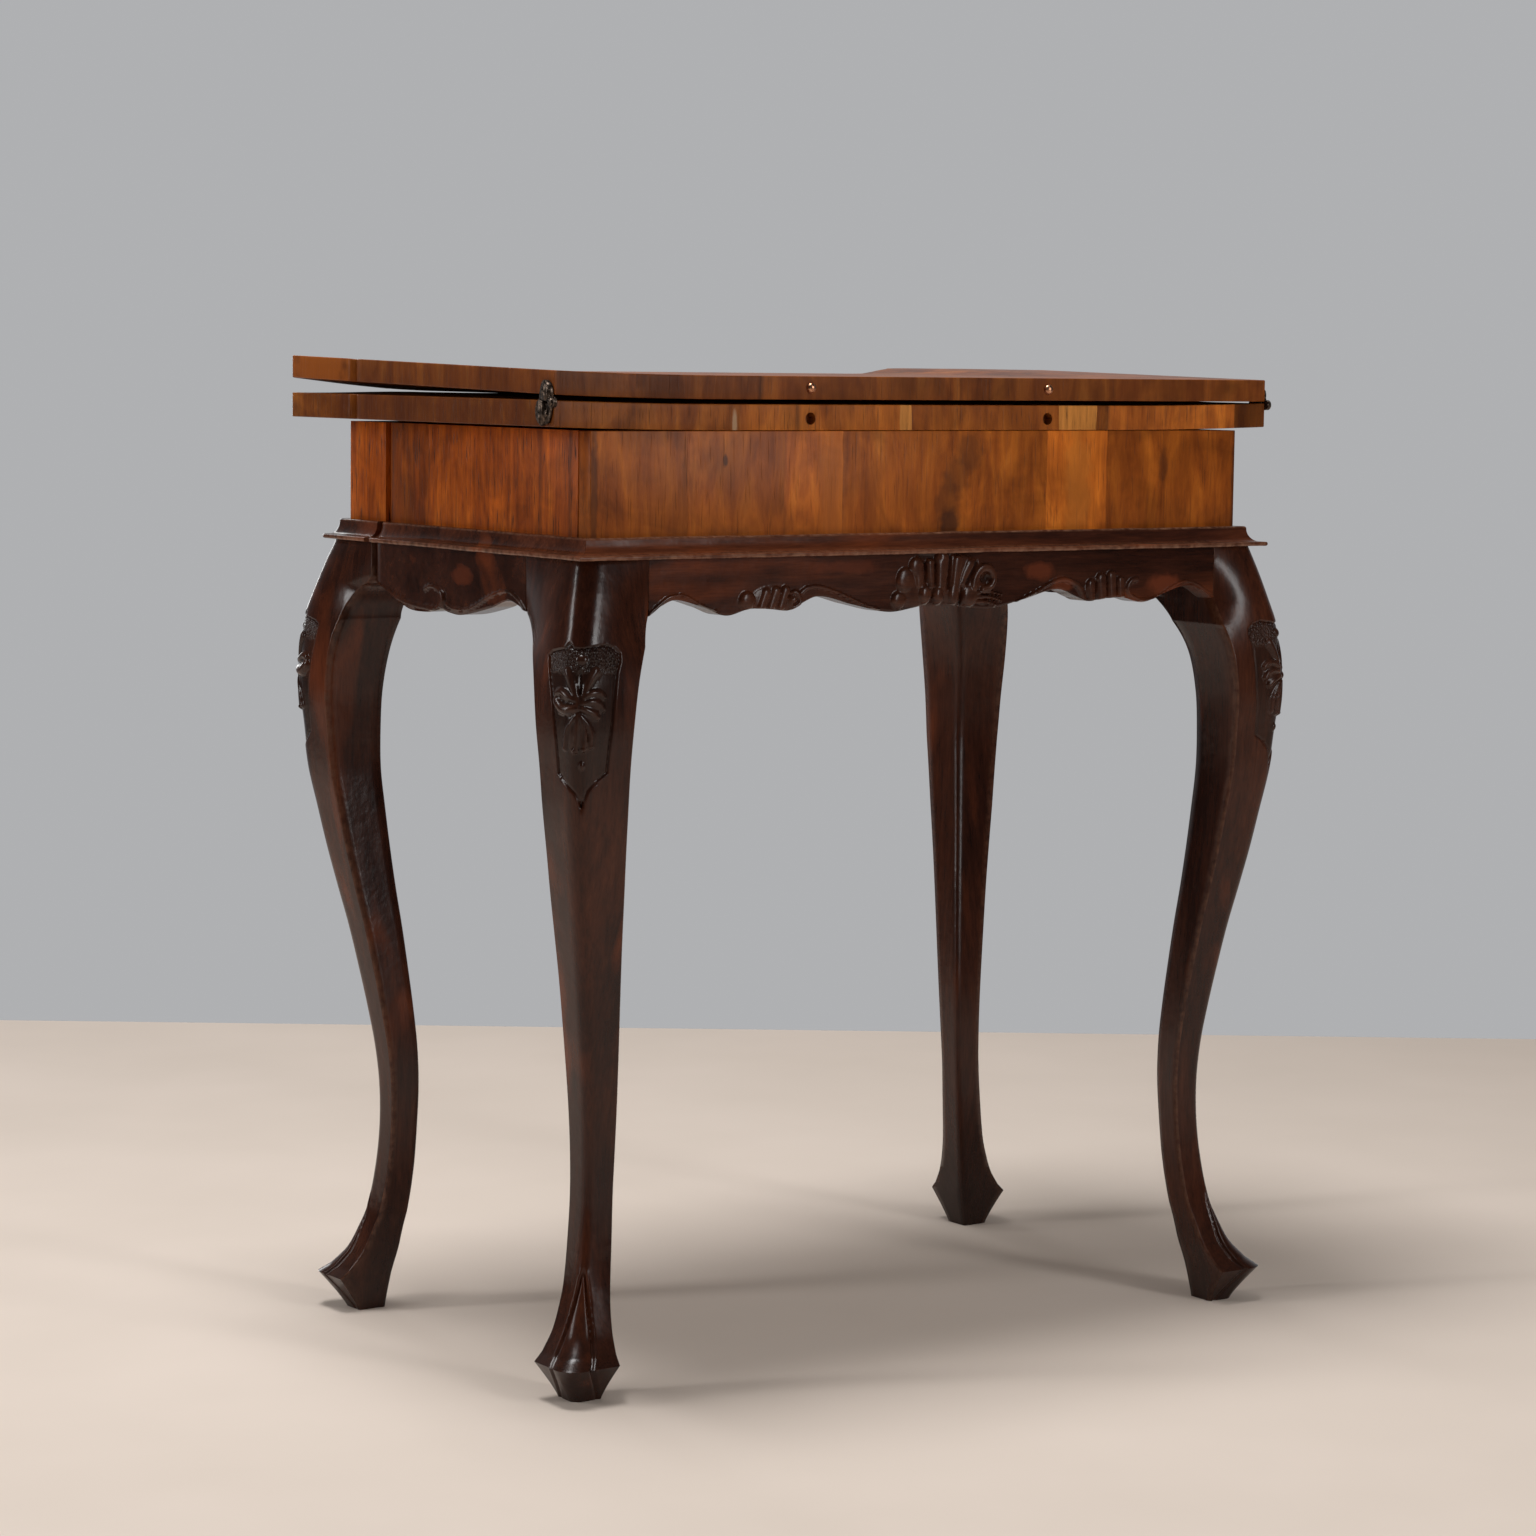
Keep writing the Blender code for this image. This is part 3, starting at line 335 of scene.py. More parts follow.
# Heights and widths of the cabriole line, as shares of leg height, knee reach and knee side
LEG_LINE_SHARES = [
    (0.056, 0.510, 0.705), (0.078, 0.205, 0.580), (0.106, -0.020, 0.498), (0.133, -0.185, 0.455),
    (0.186, -0.338, 0.430), (0.239, -0.417, 0.418), (0.293, -0.419, 0.438), (0.344, -0.347, 0.470),
    (0.396, -0.214, 0.508), (0.449, -0.055, 0.548), (0.501, 0.113, 0.590), (0.552, 0.306, 0.640),
    (0.604, 0.497, 0.696), (0.656, 0.665, 0.746), (0.707, 0.827, 0.800), (0.759, 0.919, 0.850),
    (0.809, 1.000, 0.917), (0.860, 0.985, 0.980), (0.900, 0.915, 1.048), (0.940, 0.720, 1.100),
    (0.970, 0.552, 1.150), (1.000, 0.364, 1.200),
]
LONG_SCALLOP_SHARES = [
    (0.000, 0.890), (0.045, 0.730), (0.092, 0.645), (0.187, 0.781), (0.260, 0.915),
    (0.339, 0.822), (0.407, 0.830), (0.470, 0.865), (0.500, 0.800), (0.576, 0.652),
    (0.702, 0.808), (0.827, 0.940), (0.948, 0.855), (1.000, 0.860),
]
END_SCALLOP_SHARES = [
    (0.000, 0.883), (0.110, 0.742), (0.221, 0.885), (0.412, 1.054), (0.500, 1.030),
    (0.535, 0.985), (0.570, 1.030), (0.640, 1.070), (0.760, 1.046), (0.860, 0.860),
    (0.960, 0.680), (1.000, 0.640),
]

# Each leg's corner, lean, and its seams with the long apron and the end apron: width of block,
# power of the arch's curve, and how much the leg widens as its face draws in
LEGS = {
    "back_right": ((1, 1), (0.008, -0.006), ((0.0450, 1.2, 0.7), (0.0690, 1.2, 1.5))),
    "back_left": ((-1, 1), (-0.012, 0.009), ((0.0315, 2.0, 0.0), (0.0690, 1.2, 1.5))),
    "front_right": ((1, -1), (-0.008, 0.006), ((FRONT_BLOCK, 2.0, 0.0), (FRONT_BLOCK, 2.0, 0.0))),
    "front_left": ((-1, -1), (-0.022, 0.023), ((FRONT_BLOCK, 2.0, 0.0), (FRONT_BLOCK, 2.0, 0.0))),
}

# Knee carving. A point is millimetres round the corner towards the long side, and below the top.
# A stroke is its path, its half widths at both ends and its height.
PANEL_DEPTH = 0.9
RIM_CUT = 1.5
PANEL_OUTLINE = [
    (-33, 70), (-28, 67), (-20, 65.5), (-11, 64), (-6.5, 60), (-3, 63.5), (4, 64), (12, 62.5),
    (22, 61.5), (30, 63.5), (36, 68), (36.5, 74), (34, 82), (31.5, 116), (25.5, 156), (16, 162),
    (8.5, 169), (3.5, 181), (-1, 171), (-8, 165.5), (-19, 157), (-22, 130), (-27, 98), (-32, 78),
]
KNEE_STROKES = [
    ([(1.8, 104), (-1.5, 94), (-5, 86), (-8, 80)], 3.0, 4.2, 2.3),
    ([(-1.2, 101), (-8, 98), (-15, 95.5), (-19.5, 97)], 3.0, 3.6, 2.6),
    ([(0, 107), (-7, 108.5), (-14, 107.5), (-19.5, 103)], 4.4, 5.4, 3.4),
    ([(4.6, 104), (7.5, 94), (11, 86), (15, 80)], 3.0, 4.2, 2.3),
    ([(6, 99), (13, 96), (19, 96.5), (23, 99.5)], 3.0, 2.6, 2.6),
    ([(6, 103.5), (13, 102.5), (19, 104.5), (22.5, 108.5)], 2.8, 2.6, 2.8),
    ([(5, 107.5), (10, 109.5), (15, 112), (17.5, 114.5)], 3.2, 3.0, 3.0),
    ([(1.6, 112), (1, 125), (0, 139)], 3.0, 2.4, 2.8),
    ([(3.6, 113), (7, 126), (6.2, 138)], 2.4, 2.6, 2.6),
    ([(4.5, 113), (11.5, 124), (11.5, 136)], 2.0, 2.6, 2.2),
    ([(0, 113), (-7, 124), (-9.8, 137)], 2.2, 2.8, 2.2),
]
KNEE_BALLS = [
    ((3.9, 71.5), (5.6, 4.0), 2.2), ((4.3, 150.5), (2.6, 3.6), 1.8), ((-8, 103), (13, 9.5), 1.5),
    ((12, 104), (12.5, 11), 1.5), ((1, 125), (12, 17), 1.3), ((-1.5, 139), (1.9, 2.6), 3.2),
    ((5.6, 138), (1.9, 2.6), 3.0), ((11.4, 136), (1.8, 2.2), 2.6), ((-9.8, 137.5), (2.2, 1.8), 2.6),
]
KNEE_CUTS = [([(3.4, 82), (3.2, 96)], 1.5, 1.4), ([(-14, 101.8), (-4, 103.4)], 0.9, 1.0)]
KNEE_HOLE = ((3.5, 179), 1.8, 2.4)
PUNCHED_TOP = 60
PUNCHED_FOOT = 84

# Carving of the long aprons: millimetres to the right of the middle, and below the top
LONG_STROKES = [
    ([(272, 41), (263, 34), (256, 29.5), (248, 27.5), (240, 28), (226, 35), (212, 40)], 1.5, 0.8, 1.5),
    ([(166, 28), (171, 40.5)], 4.4, 4.0, 2.6),
    ([(157, 27), (162, 39.5)], 4.6, 4.0, 3.0),
    ([(148, 26.5), (152.5, 38.5)], 4.4, 3.8, 3.0),
    ([(136, 36), (133, 28.5), (126, 24.5), (115, 24), (96, 29.5), (76, 37.5), (58, 43)], 2.2, 0.8, 1.8),
    ([(20, 24), (20.5, 16), (22.5, 10)], 4.4, 7.2, 3.1),
    ([(8, 26), (8.8, 17), (9.2, 8)], 3.0, 4.2, 2.9),
    ([(-1, 27), (-2, 16), (-2.6, 5)], 5.0, 7.0, 3.4),
    ([(-15, 27), (-16.5, 16), (-18, 7)], 4.4, 5.4, 3.1),
    ([(-21, 28), (-25, 18), (-30, 10)], 4.0, 5.2, 2.7),
    ([(-34, 28), (-36, 19), (-43, 12.5), (-51, 14), (-54.5, 21), (-51, 27.5), (-43, 29.5)], 4.2, 2.8, 3.4),
    ([(-36, 32), (-48, 31.5), (-62, 34)], 2.0, 1.1, 2.8),
    ([(-36, 35.5), (-48, 35.5), (-62, 39)], 2.0, 1.1, 2.6),
    ([(-36, 39), (-46, 39.5), (-56, 42)], 2.0, 1.1, 2.4),
    ([(-78, 40), (-100, 32), (-115, 25.5), (-127, 23.5), (-138, 27), (-145, 33), (-147.5, 42)],
     0.8, 3.4, 2.4),
    ([(-154.5, 28), (-155.5, 40)], 4.4, 3.6, 2.6),
    ([(-165.2, 24), (-166.5, 39)], 5.4, 4.6, 3.0),
    ([(-176, 22.5), (-177, 38.5)], 5.2, 4.4, 3.0),
    ([(-185.5, 26), (-186.5, 38)], 4.2, 3.8, 2.6),
    ([(-203, 25), (-197, 26.5), (-193.5, 32), (-198, 38.5), (-210, 42), (-224, 40)], 2.2, 1.2, 2.0),
    ([(-228, 38.5), (-242, 31.5), (-254, 28), (-266, 30), (-276, 35), (-285, 41)], 0.9, 1.6, 1.5),
]
LONG_BALLS = [
    ((183.5, 33), (7.4, 7.2), 3.0), ((139.5, 33.5), (7.2, 8.2), 3.8), ((160, 33), (20, 11), 1.4),
    ((39.5, 36), (7.4, 7.0), 3.0), ((33, 21.5), (9.0, 11), 2.9), ((26, 28), (15, 15), 2.2),
    ((-16, 20), (32, 19), 1.9), ((15, 32), (6.8, 8.0), 5.2), ((1.6, 33), (5.8, 7.6), 4.6),
    ((-13.5, 33), (5.6, 9), 3.8), ((-30, 34), (9, 9), 3.3), ((-171, 32), (22, 12), 1.4),
]
LONG_CUTS = [
    ([(145, 30.5), (140, 29.5), (137, 34), (141, 36.5)], 1.2, 2.4),
    ([(17.5, 2), (2, 3)], 2.6, 1.0),
    ([(14, 8), (13.5, 22)], 1.0, 2.0),
    ([(4.2, 8), (4.4, 24)], 0.9, 2.2),
    ([(-10.4, 3), (-8.5, 27)], 1.2, 2.6),
    ([(-37, 8), (-27, 24)], 1.3, 3.0),
    ([(-21.8, 27), (-21.5, 40)], 1.3, 2.6),
    ([(-47, 20.5), (-44, 22)], 2.6, 2.6),
    ([(-160.2, 26), (-160.8, 40)], 0.8, 1.8),
    ([(-171, 22), (-171.6, 39)], 0.8, 1.8),
    ([(-181.2, 23), (-182, 38)], 0.8, 1.8),
]

# Carving of the end aprons: millimetres along Y, and below the top
END_STROKES = [
    ([(-33, 33), (-24, 30.5), (-15, 31.5), (-8, 35), (-6, 41), (-10, 46)], 2.0, 1.6, 1.8),
    ([(-119, 31), (-97, 37.5), (-65, 44.5), (-38, 47), (-14, 48)], 2.6, 3.0, 1.6),
    ([(0, 43), (12, 46), (36, 44.5), (66, 33.5), (80, 29.5), (95, 28.5), (108, 34), (116, 41)],
     1.8, 1.2, 1.6),
]
END_CUTS = [([(-3.5, 34), (-2.5, 40), (-4, 47)], 0.9, 1.4)]


def smooth_share(table, place, column):
    """Smooth curve through a table of shares, read at one place."""
    places = [row[0] for row in table]
    values = [row[column] for row in table]
    last = len(table) - 1
    place = min(max(place, places[0]), places[-1])
    slot = 0
    while slot < last - 1 and places[slot + 1] < place:
        slot += 1

    def slope(index):
        before = max(index - 1, 0)
        after = min(index + 1, last)
        return (values[after] - values[before]) / (places[after] - places[before])

    span = places[slot + 1] - places[slot]
    part = (place - places[slot]) / span
    rise = values[slot + 1] - values[slot]
    start = slope(slot) * span
    finish = slope(slot + 1) * span
    cubic = (start + finish - 2 * rise) * part ** 3
    square = (3 * rise - 2 * start - finish) * part ** 2
    return values[slot] + start * part + square + cubic


def smooth_step(value):
    value = np.clip(value, 0.0, 1.0)
    return value * value * (3 - 2 * value)


def held(value):
    """Value kept between 0 and 1."""
    return max(0.0, min(1.0, value))


def quarter_turn(steps, first=0):
    """Angles from zero to a right angle."""
    return [math.pi / 2 * step / steps for step in range(first, steps + 1)]


def linked(name, data):
    """Object of some data, in the scene."""
    made = bpy.data.objects.new(name, data)
    bpy.context.scene.collection.objects.link(made)
    return made


def settle(made, body, nodes):
    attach(made, body)
    if nodes:
        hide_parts(*nodes)


def smooth_mesh(name, verts, faces, sharp_angle):
    """Mesh with its faces turned outwards, smooth but for edges beyond an angle."""
    data = bpy.data.meshes.new(name)
    data.from_pydata([tuple(vert) for vert in verts], [], faces)
    mesh = bmesh.new()
    mesh.from_mesh(data)
    bmesh.ops.recalc_face_normals(mesh, faces=mesh.faces)
    mesh.to_mesh(data)
    mesh.free()
    data.shade_smooth()
    data.set_sharp_from_angle(angle=sharp_angle)
    return data


def make_piece(name, body, verts, faces, nodes, looks, shades=None, face_looks=None):
    """Piece on a body, which stands for CAD nodes. Shades are numbers kept at each vertex."""
    data = smooth_mesh(name, verts, faces, CARVED_ANGLE)
    for shade, values in (shades or {}).items():
        layer = data.attributes.new(shade, 'FLOAT', 'POINT')
        layer.data.foreach_set("value", np.asarray(values, dtype=np.float32))
    for look in looks:
        data.materials.append(look)
    if face_looks is not None:
        data.polygons.foreach_set("material_index", face_looks)
    made = linked(name, data)
    settle(made, body, nodes)
    return made


def ring_faces(rings, width):
    """Faces between rings of equally many points, with both ends capped."""
    faces = []
    for ring in range(rings - 1):
        base = ring * width
        for index in range(width):
            after = (index + 1) % width
            faces.append((base + index, base + after, base + width + after, base + width + index))
    faces.append(tuple(range(width - 1, -1, -1)))
    faces.append(tuple(range((rings - 1) * width, rings * width)))
    return faces


def path_points(path, steps=8):
    """Points along a smooth curve through the path's points."""
    points = [np.array(point, dtype=float) for point in path]
    if len(points) == 2:
        return [points[0] + (points[1] - points[0]) * step / steps for step in range(steps + 1)]
    padded = [2 * points[0] - points[1]] + points + [2 * points[-1] - points[-2]]
    found = []
    for a, b, c, d in zip(padded, padded[1:], padded[2:], padded[3:]):
        for step in range(steps):
            t = step / steps
            found.append(0.5 * (2 * b + (c - a) * t + (2 * a - 5 * b + 4 * c - d) * t * t
                                + (3 * b - a - 3 * c + d) * t ** 3))
    return found + [points[-1]]


def nearest_on_path(u, v, path):
    """Distance of each point from a path, and how far along the path its nearest place is."""
    points = path_points(path)
    nearest = np.full(u.shape, 1e9)
    along = np.zeros(u.shape)
    for index, (start, finish) in enumerate(zip(points, points[1:])):
        step = finish - start
        part = ((u - start[0]) * step[0] + (v - start[1]) * step[1]) / max(step @ step, 1e-9)
        part = np.clip(part, 0.0, 1.0)
        distance = np.hypot(u - start[0] - part * step[0], v - start[1] - part * step[1])
        closer = distance < nearest
        nearest[closer] = distance[closer]
        along[closer] = ((index + part) / (len(points) - 1))[closer]
    return nearest, along


def carve(u, v, strokes, balls=(), cuts=(), flatness=3.0, steepness=0.5):
    """Height in millimetres of a carving at each point."""
    height = np.zeros(u.shape)
    for path, first, last, rise in strokes:
        distance, along = nearest_on_path(u, v, path)
        width = first + (last - first) * along
        dome = np.clip(1 - (distance / width) ** flatness, 0.0, 1.0) ** steepness
        height = np.maximum(height, rise * dome)
    for (centre_u, centre_v), (radius_u, radius_v), rise in balls:
        distance = np.hypot((u - centre_u) / radius_u, (v - centre_v) / radius_v)
        dome = np.clip(1 - distance ** flatness, 0.0, 1.0) ** steepness
        height = np.maximum(height, rise * dome)
    for path, width, depth in cuts:
        distance, _ = nearest_on_path(u, v, path)
        height -= depth * np.exp(-(distance / width) ** 2)
    return height


def inside_distance(u, v, outline):
    """Distance of each point inside an outline, negative outside."""
    inside = np.zeros(u.shape, dtype=bool)
    nearest = np.full(u.shape, 1e9)
    closed = outline + outline[:1]
    for (au, av), (bu, bv) in zip(closed, closed[1:]):
        crosses = (av > v) != (bv > v)
        level = (v - av) / (bv - av if bv != av else 1e-9)
        inside ^= crosses & (u < au + level * (bu - au))
        length = (bu - au) ** 2 + (bv - av) ** 2
        part = np.clip(((u - au) * (bu - au) + (v - av) * (bv - av)) / length, 0.0, 1.0)
        nearest = np.minimum(nearest, np.hypot(u - au - part * (bu - au), v - av - part * (bv - av)))
    return np.where(inside, nearest, -nearest)


def leg_outer(height):
    return KNEE_REACH * smooth_share(LEG_LINE_SHARES, height / LEG_HEIGHT, 1)


def face_draw(height, arch_rise):
    """How far an outer face draws in towards its apron, so that the two meet flush."""
    foot = ARCH_FOOT - DRAW_BELOW_ARCH
    share = (height - foot) / (ARCH_FOOT + arch_rise - foot)
    return (leg_outer(height) - BASE_OUT) * held(share) ** 3


def leg_inner(height, arch_rise, seam):
    """Where an inner face of a leg stands, below, along and above the arch that meets the apron."""
    block, power, spread = seam
    straight = min(height, ARCH_FOOT)
    side = KNEE_SIDE * smooth_share(LEG_LINE_SHARES, straight / LEG_HEIGHT, 2)
    inner = leg_outer(straight) - side - spread * face_draw(straight, arch_rise)
    rise = held((height - ARCH_FOOT) / arch_rise)
    return inner - (inner + block) * (1 - (1 - rise ** power) ** (1 / power))


def corner_points(outer, rounding, power):
    """Rounded outer corner of a leg: points and directions out of the surface."""
    centre = outer - rounding
    corner = []
    for angle in quarter_turn(ARC_STEPS):
        across = max(math.cos(angle), 0.0) ** (2 / power)
        along = max(math.sin(angle), 0.0) ** (2 / power)
        out = Vector((across ** (power - 1), along ** (power - 1))).normalized()
        corner.append((centre + rounding * across, centre + rounding * along, out.x, out.y))
    return corner


def leg_ring(outer, inners, rounding, draw, arris=ARRIS, power=ROUND_POWER):
    """Plan section of a leg: points, directions out of the surface, and distance round the corner."""
    centre = outer - rounding
    corner = corner_points(outer, rounding, power)
    lengths = [math.dist(before[:2], after[:2]) for before, after in zip(corner, corner[1:])]
    half_corner = sum(lengths) / 2
    crown = FACE_CROWN * min(1.0, (centre - max(inners)) / KNEE_SIDE) * arris / ARRIS
    inner_x, inner_y = inners
    drawn = outer - draw - crown
    end_face = []
    long_face = []
    for step in range(FACE_STEPS):
        part = step / FACE_STEPS
        out = outer - (draw + crown) * (1 - part) ** 2
        for face, inner in ((end_face, inner_y), (long_face, inner_x)):
            length = centre - inner - arris
            face.append((inner + arris + length * part, out, half_corner + length * (1 - part)))
    end_face = [(out, along, 1.0, 0.0, -distance) for along, out, distance in end_face]
    long_face = [(along, out, 0.0, 1.0, distance) for along, out, distance in reversed(long_face)]
    arc = [(*point, sum(lengths[:index]) - half_corner) for index, point in enumerate(corner)]
    end_side = []
    long_side = []
    for step in range(INNER_STEPS + 1):
        part = step / INNER_STEPS
        x = inner_x + arris + (drawn - inner_x - 2 * arris) * part
        y = drawn - arris - (drawn - inner_y - 2 * arris) * part
        end_side.append((x, inner_y, 0.0, 0.0, -HIDDEN))
        long_side.append((inner_x, y, 0.0, 0.0, HIDDEN))
    return end_side + end_face + arc + long_face + long_side


def leg_levels(arch_rise):
    """Heights of a leg's rings: close together at the carved knee and at the foot."""
    levels = list(np.arange(RIM_HEIGHT, PETAL_RINGS_TO, PETAL_RING_STEP))
    levels += list(np.arange(levels[-1] + SHAFT_RING_START, SHAFT_RINGS_TO, SHAFT_RING_STEP))
    levels += list(np.arange(KNEE_RINGS_FROM, KNEE_RINGS_TO, KNEE_RING_STEP))
    levels += list(np.arange(ARCH_RINGS_FROM, ARCH_FOOT + arch_rise, ARCH_RING_STEP))
    return levels + [LEG_HEIGHT - share * (LEG_HEIGHT - levels[-1]) for share in (0.8, 0.6, 0.4, 0.2, 0.0)]


def petal_relief(distance, height, petal):
    """Leaf shapes of a foot: a pointed middle petal between two lipped grooves."""
    grown = (PETAL_TOP - height) / PETAL_LENGTH
    if grown <= 0:
        return np.zeros(distance.shape)
    reach = petal * 1000 * grown ** PETAL_SPREAD_POWER
    side = np.abs(distance) - reach
    fade = min(1.0, grown * PETAL_FADE_SHARE)
    groove = -PETAL_GROOVE * fade * np.exp(-(side / (GROOVE_HALF + GROOVE_GROWTH * grown)) ** 2)
    lip = PETAL_LIP * fade * np.exp(-(side - PETAL_LIP_OUT) ** 2)
    crown = PETAL_CROWN * grown * np.clip(1 - (distance / max(reach, 0.5)) ** 2, 0.0, 1.0)
    return groove + lip + crown


def foot_rings():
    """Rings of a foot from its sole up to its rim: height, ring and rounding."""
    sole_inner = SOLE_OUT - SOLE_SIDE
    rim_inner = RIM_OUT - RIM_SIDE
    sole = leg_ring(SOLE_OUT, (sole_inner, sole_inner), SOLE_ROUND, 0.0)
    rim = leg_ring(RIM_OUT, (rim_inner, rim_inner), RIM_ROUND, 0.0)
    rings = []
    for step in range(SOLE_STEPS):
        part = step / SOLE_STEPS
        bend = part ** SOLE_BEND
        between = [tuple(a + (b - a) * bend for a, b in zip(low, high)) for low, high in zip(sole, rim)]
        rings.append((RIM_HEIGHT * part, between, RIM_ROUND))
    return rings


def shaft_ring(height, arch_rise, seams):
    """Ring of a leg above its rim: height, ring and rounding."""
    line_start = LEG_LINE_SHARES[0][0] * LEG_HEIGHT
    fade = held((PETAL_TOP - height) / PETAL_LENGTH)
    if height < line_start:
        part = (height - RIM_HEIGHT) / (line_start - RIM_HEIGHT)
        rim_inner = RIM_OUT - RIM_SIDE
        outer = RIM_OUT + (leg_outer(line_start) - RIM_OUT) * part
        inners = [rim_inner + (leg_inner(line_start, arch_rise, seam) - rim_inner) * part for seam in seams]
    else:
        outer = leg_outer(height)
        inners = [leg_inner(height, arch_rise, seam) for seam in seams]
    rounding = KNEE_ROUND * min(1.0, (outer - max(inners)) / KNEE_SIDE)
    rounding += (RIM_ROUND - rounding) * fade ** 2
    draw = face_draw(height, arch_rise) if height > line_start else 0.0
    arris = ARRIS - (ARRIS - SEAM_ARRIS) * held((height - ARCH_FOOT) / arch_rise)
    power = ROUND_POWER + (KNEE_POWER - ROUND_POWER) * (1 - fade)
    return height, leg_ring(outer, inners, rounding, draw, arris, power), rounding


def knee_relief(distance, drop, outer_side):
    """Carving of a knee in millimetres, and the shades that go with it: painted shade in the sunk panel and
    along its rim, wear on the raised carving, and the punching.
    """
    sunk = inside_distance(distance, drop, PANEL_OUTLINE)
    in_panel = smooth_step(sunk / PANEL_SLOPE) * outer_side
    carving = carve(distance, drop, KNEE_STROKES, KNEE_BALLS, KNEE_CUTS, KNEE_FLATNESS, KNEE_STEEPNESS)
    (hole_u, hole_v), hole_radius, hole_depth = KNEE_HOLE
    hole = hole_depth * np.exp(-(np.hypot(distance - hole_u, (drop - hole_v) / 2) / hole_radius) ** 2)
    rim_cut = RIM_CUT * np.exp(-(sunk / RIM_CUT_HALF) ** 2)
    relief = in_panel * (carving - PANEL_DEPTH) - (hole + rim_cut) * outer_side
    raised = in_panel * np.clip(carving / FULL_RISE, 0.0, 1.0)
    rim_shade = np.exp(-(sunk / RIM_SHADE_HALF) ** 2) * outer_side
    punched = in_panel * (carving < PUNCHED_RISE) * smooth_step((drop - PUNCHED_TOP) / PUNCHED_TOP_FADE)
    # The sunk panel and a band along its rim get painted shade, raised carving less of it
    return relief, {"ground": np.maximum(in_panel * (1 - RIDGE_LIGHT * raised), rim_shade),
                    "wear_and_glint": RIDGE_WEAR * raised,
                    "punched": punched * smooth_step((PUNCHED_FOOT - drop) / PUNCHED_FOOT_FADE)}


def build_leg(name, look):
    (turn_x, turn_y), lean, seams = LEGS[name]
    arch_rise = BACK_ARCH_RISE if turn_y > 0 else FRONT_ARCH_RISE
    rings = foot_rings() + [shaft_ring(height, arch_rise, seams) for height in leg_levels(arch_rise)]
    heights = np.array([height for height, _, _ in rings])[:, None]
    data = np.array([ring for _, ring, _ in rings])
    count = data.shape[1]
    across, along, out_x, out_y, distance = np.moveaxis(data, 2, 0)
    distance = distance * 1000
    outward = np.hypot(out_x, out_y)
    drop = np.repeat((LEG_HEIGHT - heights) * 1000, count, axis=1)
    relief, shades = knee_relief(distance, drop, outward > 0.5)
    for index, (height, _, rounding) in enumerate(rings):
        if height < PETAL_TOP:
            petal = rounding * math.pi / 4 + rounding * (PETAL_SHARE - 1)
            shown = min(1.0, SOLE_PETAL_SHARE + (1 - SOLE_PETAL_SHARE) * height / RIM_HEIGHT)
            relief[index] += shown * petal_relief(distance[index], max(height, RIM_HEIGHT), petal)
    relief *= outward * MM
    below = np.maximum(0.0, LEAN_START_SHARE * LEG_HEIGHT - heights)
    face = BACK_FACE if turn_y > 0 else FRONT_FACE
    x = turn_x * END_FACE + lean[0] * below + turn_x * (across + relief * out_x)
    y = face + lean[1] * below + turn_y * (along + relief * out_y)
    z = np.repeat(heights, count, axis=1)
    first_face = INNER_STEPS + 1
    for index in (INNER_STEPS, first_face, count - first_face - 1, count - first_face):
        shades["wear_and_glint"][:, index] = 1.0
    # The legs darken towards the bottom of the feet
    shades["ground"] = np.maximum(shades["ground"], smooth_step((DARK_FOOT - heights) / DARK_FOOT))
    make_piece(f"carved_leg_{name}", "frame", np.stack([x, y, z], axis=-1).reshape(-1, 3),
               ring_faces(len(rings), count), [f"leg_{name}"], [look],
               {shade: values.ravel() for shade, values in shades.items()})


def dent(distance):
    """How far a side draws in beside the corner block, by the distance from the notch."""
    if distance >= BUMP_LENGTH:
        return 0.0
    part = 1 - distance / BUMP_LENGTH
    return NOTCH_DEPTH * (1 - math.sqrt(max(0.0, 1 - part * part)))


def front_draw(x):
    """How far the front draws in: the notches and the hollows of its serpentine."""
    distance = FRONT_NOTCH - abs(x)
    part = distance / FRONT_NOTCH
    return dent(distance) + FRONT_HOLLOW * (1 - math.cos(2 * math.pi * part)) / 2


def bump_distances():
    """Distances from a notch that follow its rounded shoulder evenly, shoulder first."""
    return [BUMP_LENGTH * (1 - math.sin(angle)) for angle in quarter_turn(BUMP_STEPS)]


def spaced(start, finish, step):
    """Places between two places, both included, about a step apart."""
    count = max(1, round(abs(finish - start) / step))
    return [start + (finish - start) * index / count for index in range(count + 1)]


def apron_strip(name, places, drop_of, to_world, draw_of, relief_of, look):
    """Apron with a carved outer face, swept along its places."""
    places = np.array(places)
    lows = np.array([LEG_HEIGHT - drop_of(place) for place in places])
    levels = lows[:, None] + (LEG_HEIGHT - lows[:, None]) * np.linspace(0.0, 1.0, APRON_ROWS)[None, :]
    grid = np.repeat((places * 1000)[:, None], APRON_ROWS, axis=1)
    relief = relief_of(grid, (LEG_HEIGHT - levels) * 1000)
    inner = BASE_OUT - APRON_THICKNESS
    verts = []
    ground = []
    for place, low, row_levels, row_relief in zip(places, lows, levels, relief):
        outer = BASE_OUT - draw_of(place)
        outline = [(inner, LEG_HEIGHT), (inner, low), (outer - APRON_EDGE, low)]
        for level, rise in zip(row_levels, row_relief):
            over = max(0.0, 1 - (level - low) / APRON_EDGE)
            rounding = APRON_EDGE * (1 - math.sqrt(max(0.0, 1 - over * over)))
            outline.append((outer - rounding + rise * MM, level))
        verts += [to_world(place, out, level) for out, level in outline]
        ground += [0.0, 0.0, 0.0, *row_relief]
    ground = np.array(ground)
    # Cuts into the carving get painted shade; raised carving gets wear
    shades = {"ground": np.clip(-ground, 0.0, 1.0),
              "wear_and_glint": np.clip(ground / FULL_APRON_WEAR, 0.0, MOST_APRON_WEAR)}
    make_piece(f"carved_{name}", "frame", verts,
               ring_faces(len(places), APRON_ROWS + 3), [name], [look], shades)


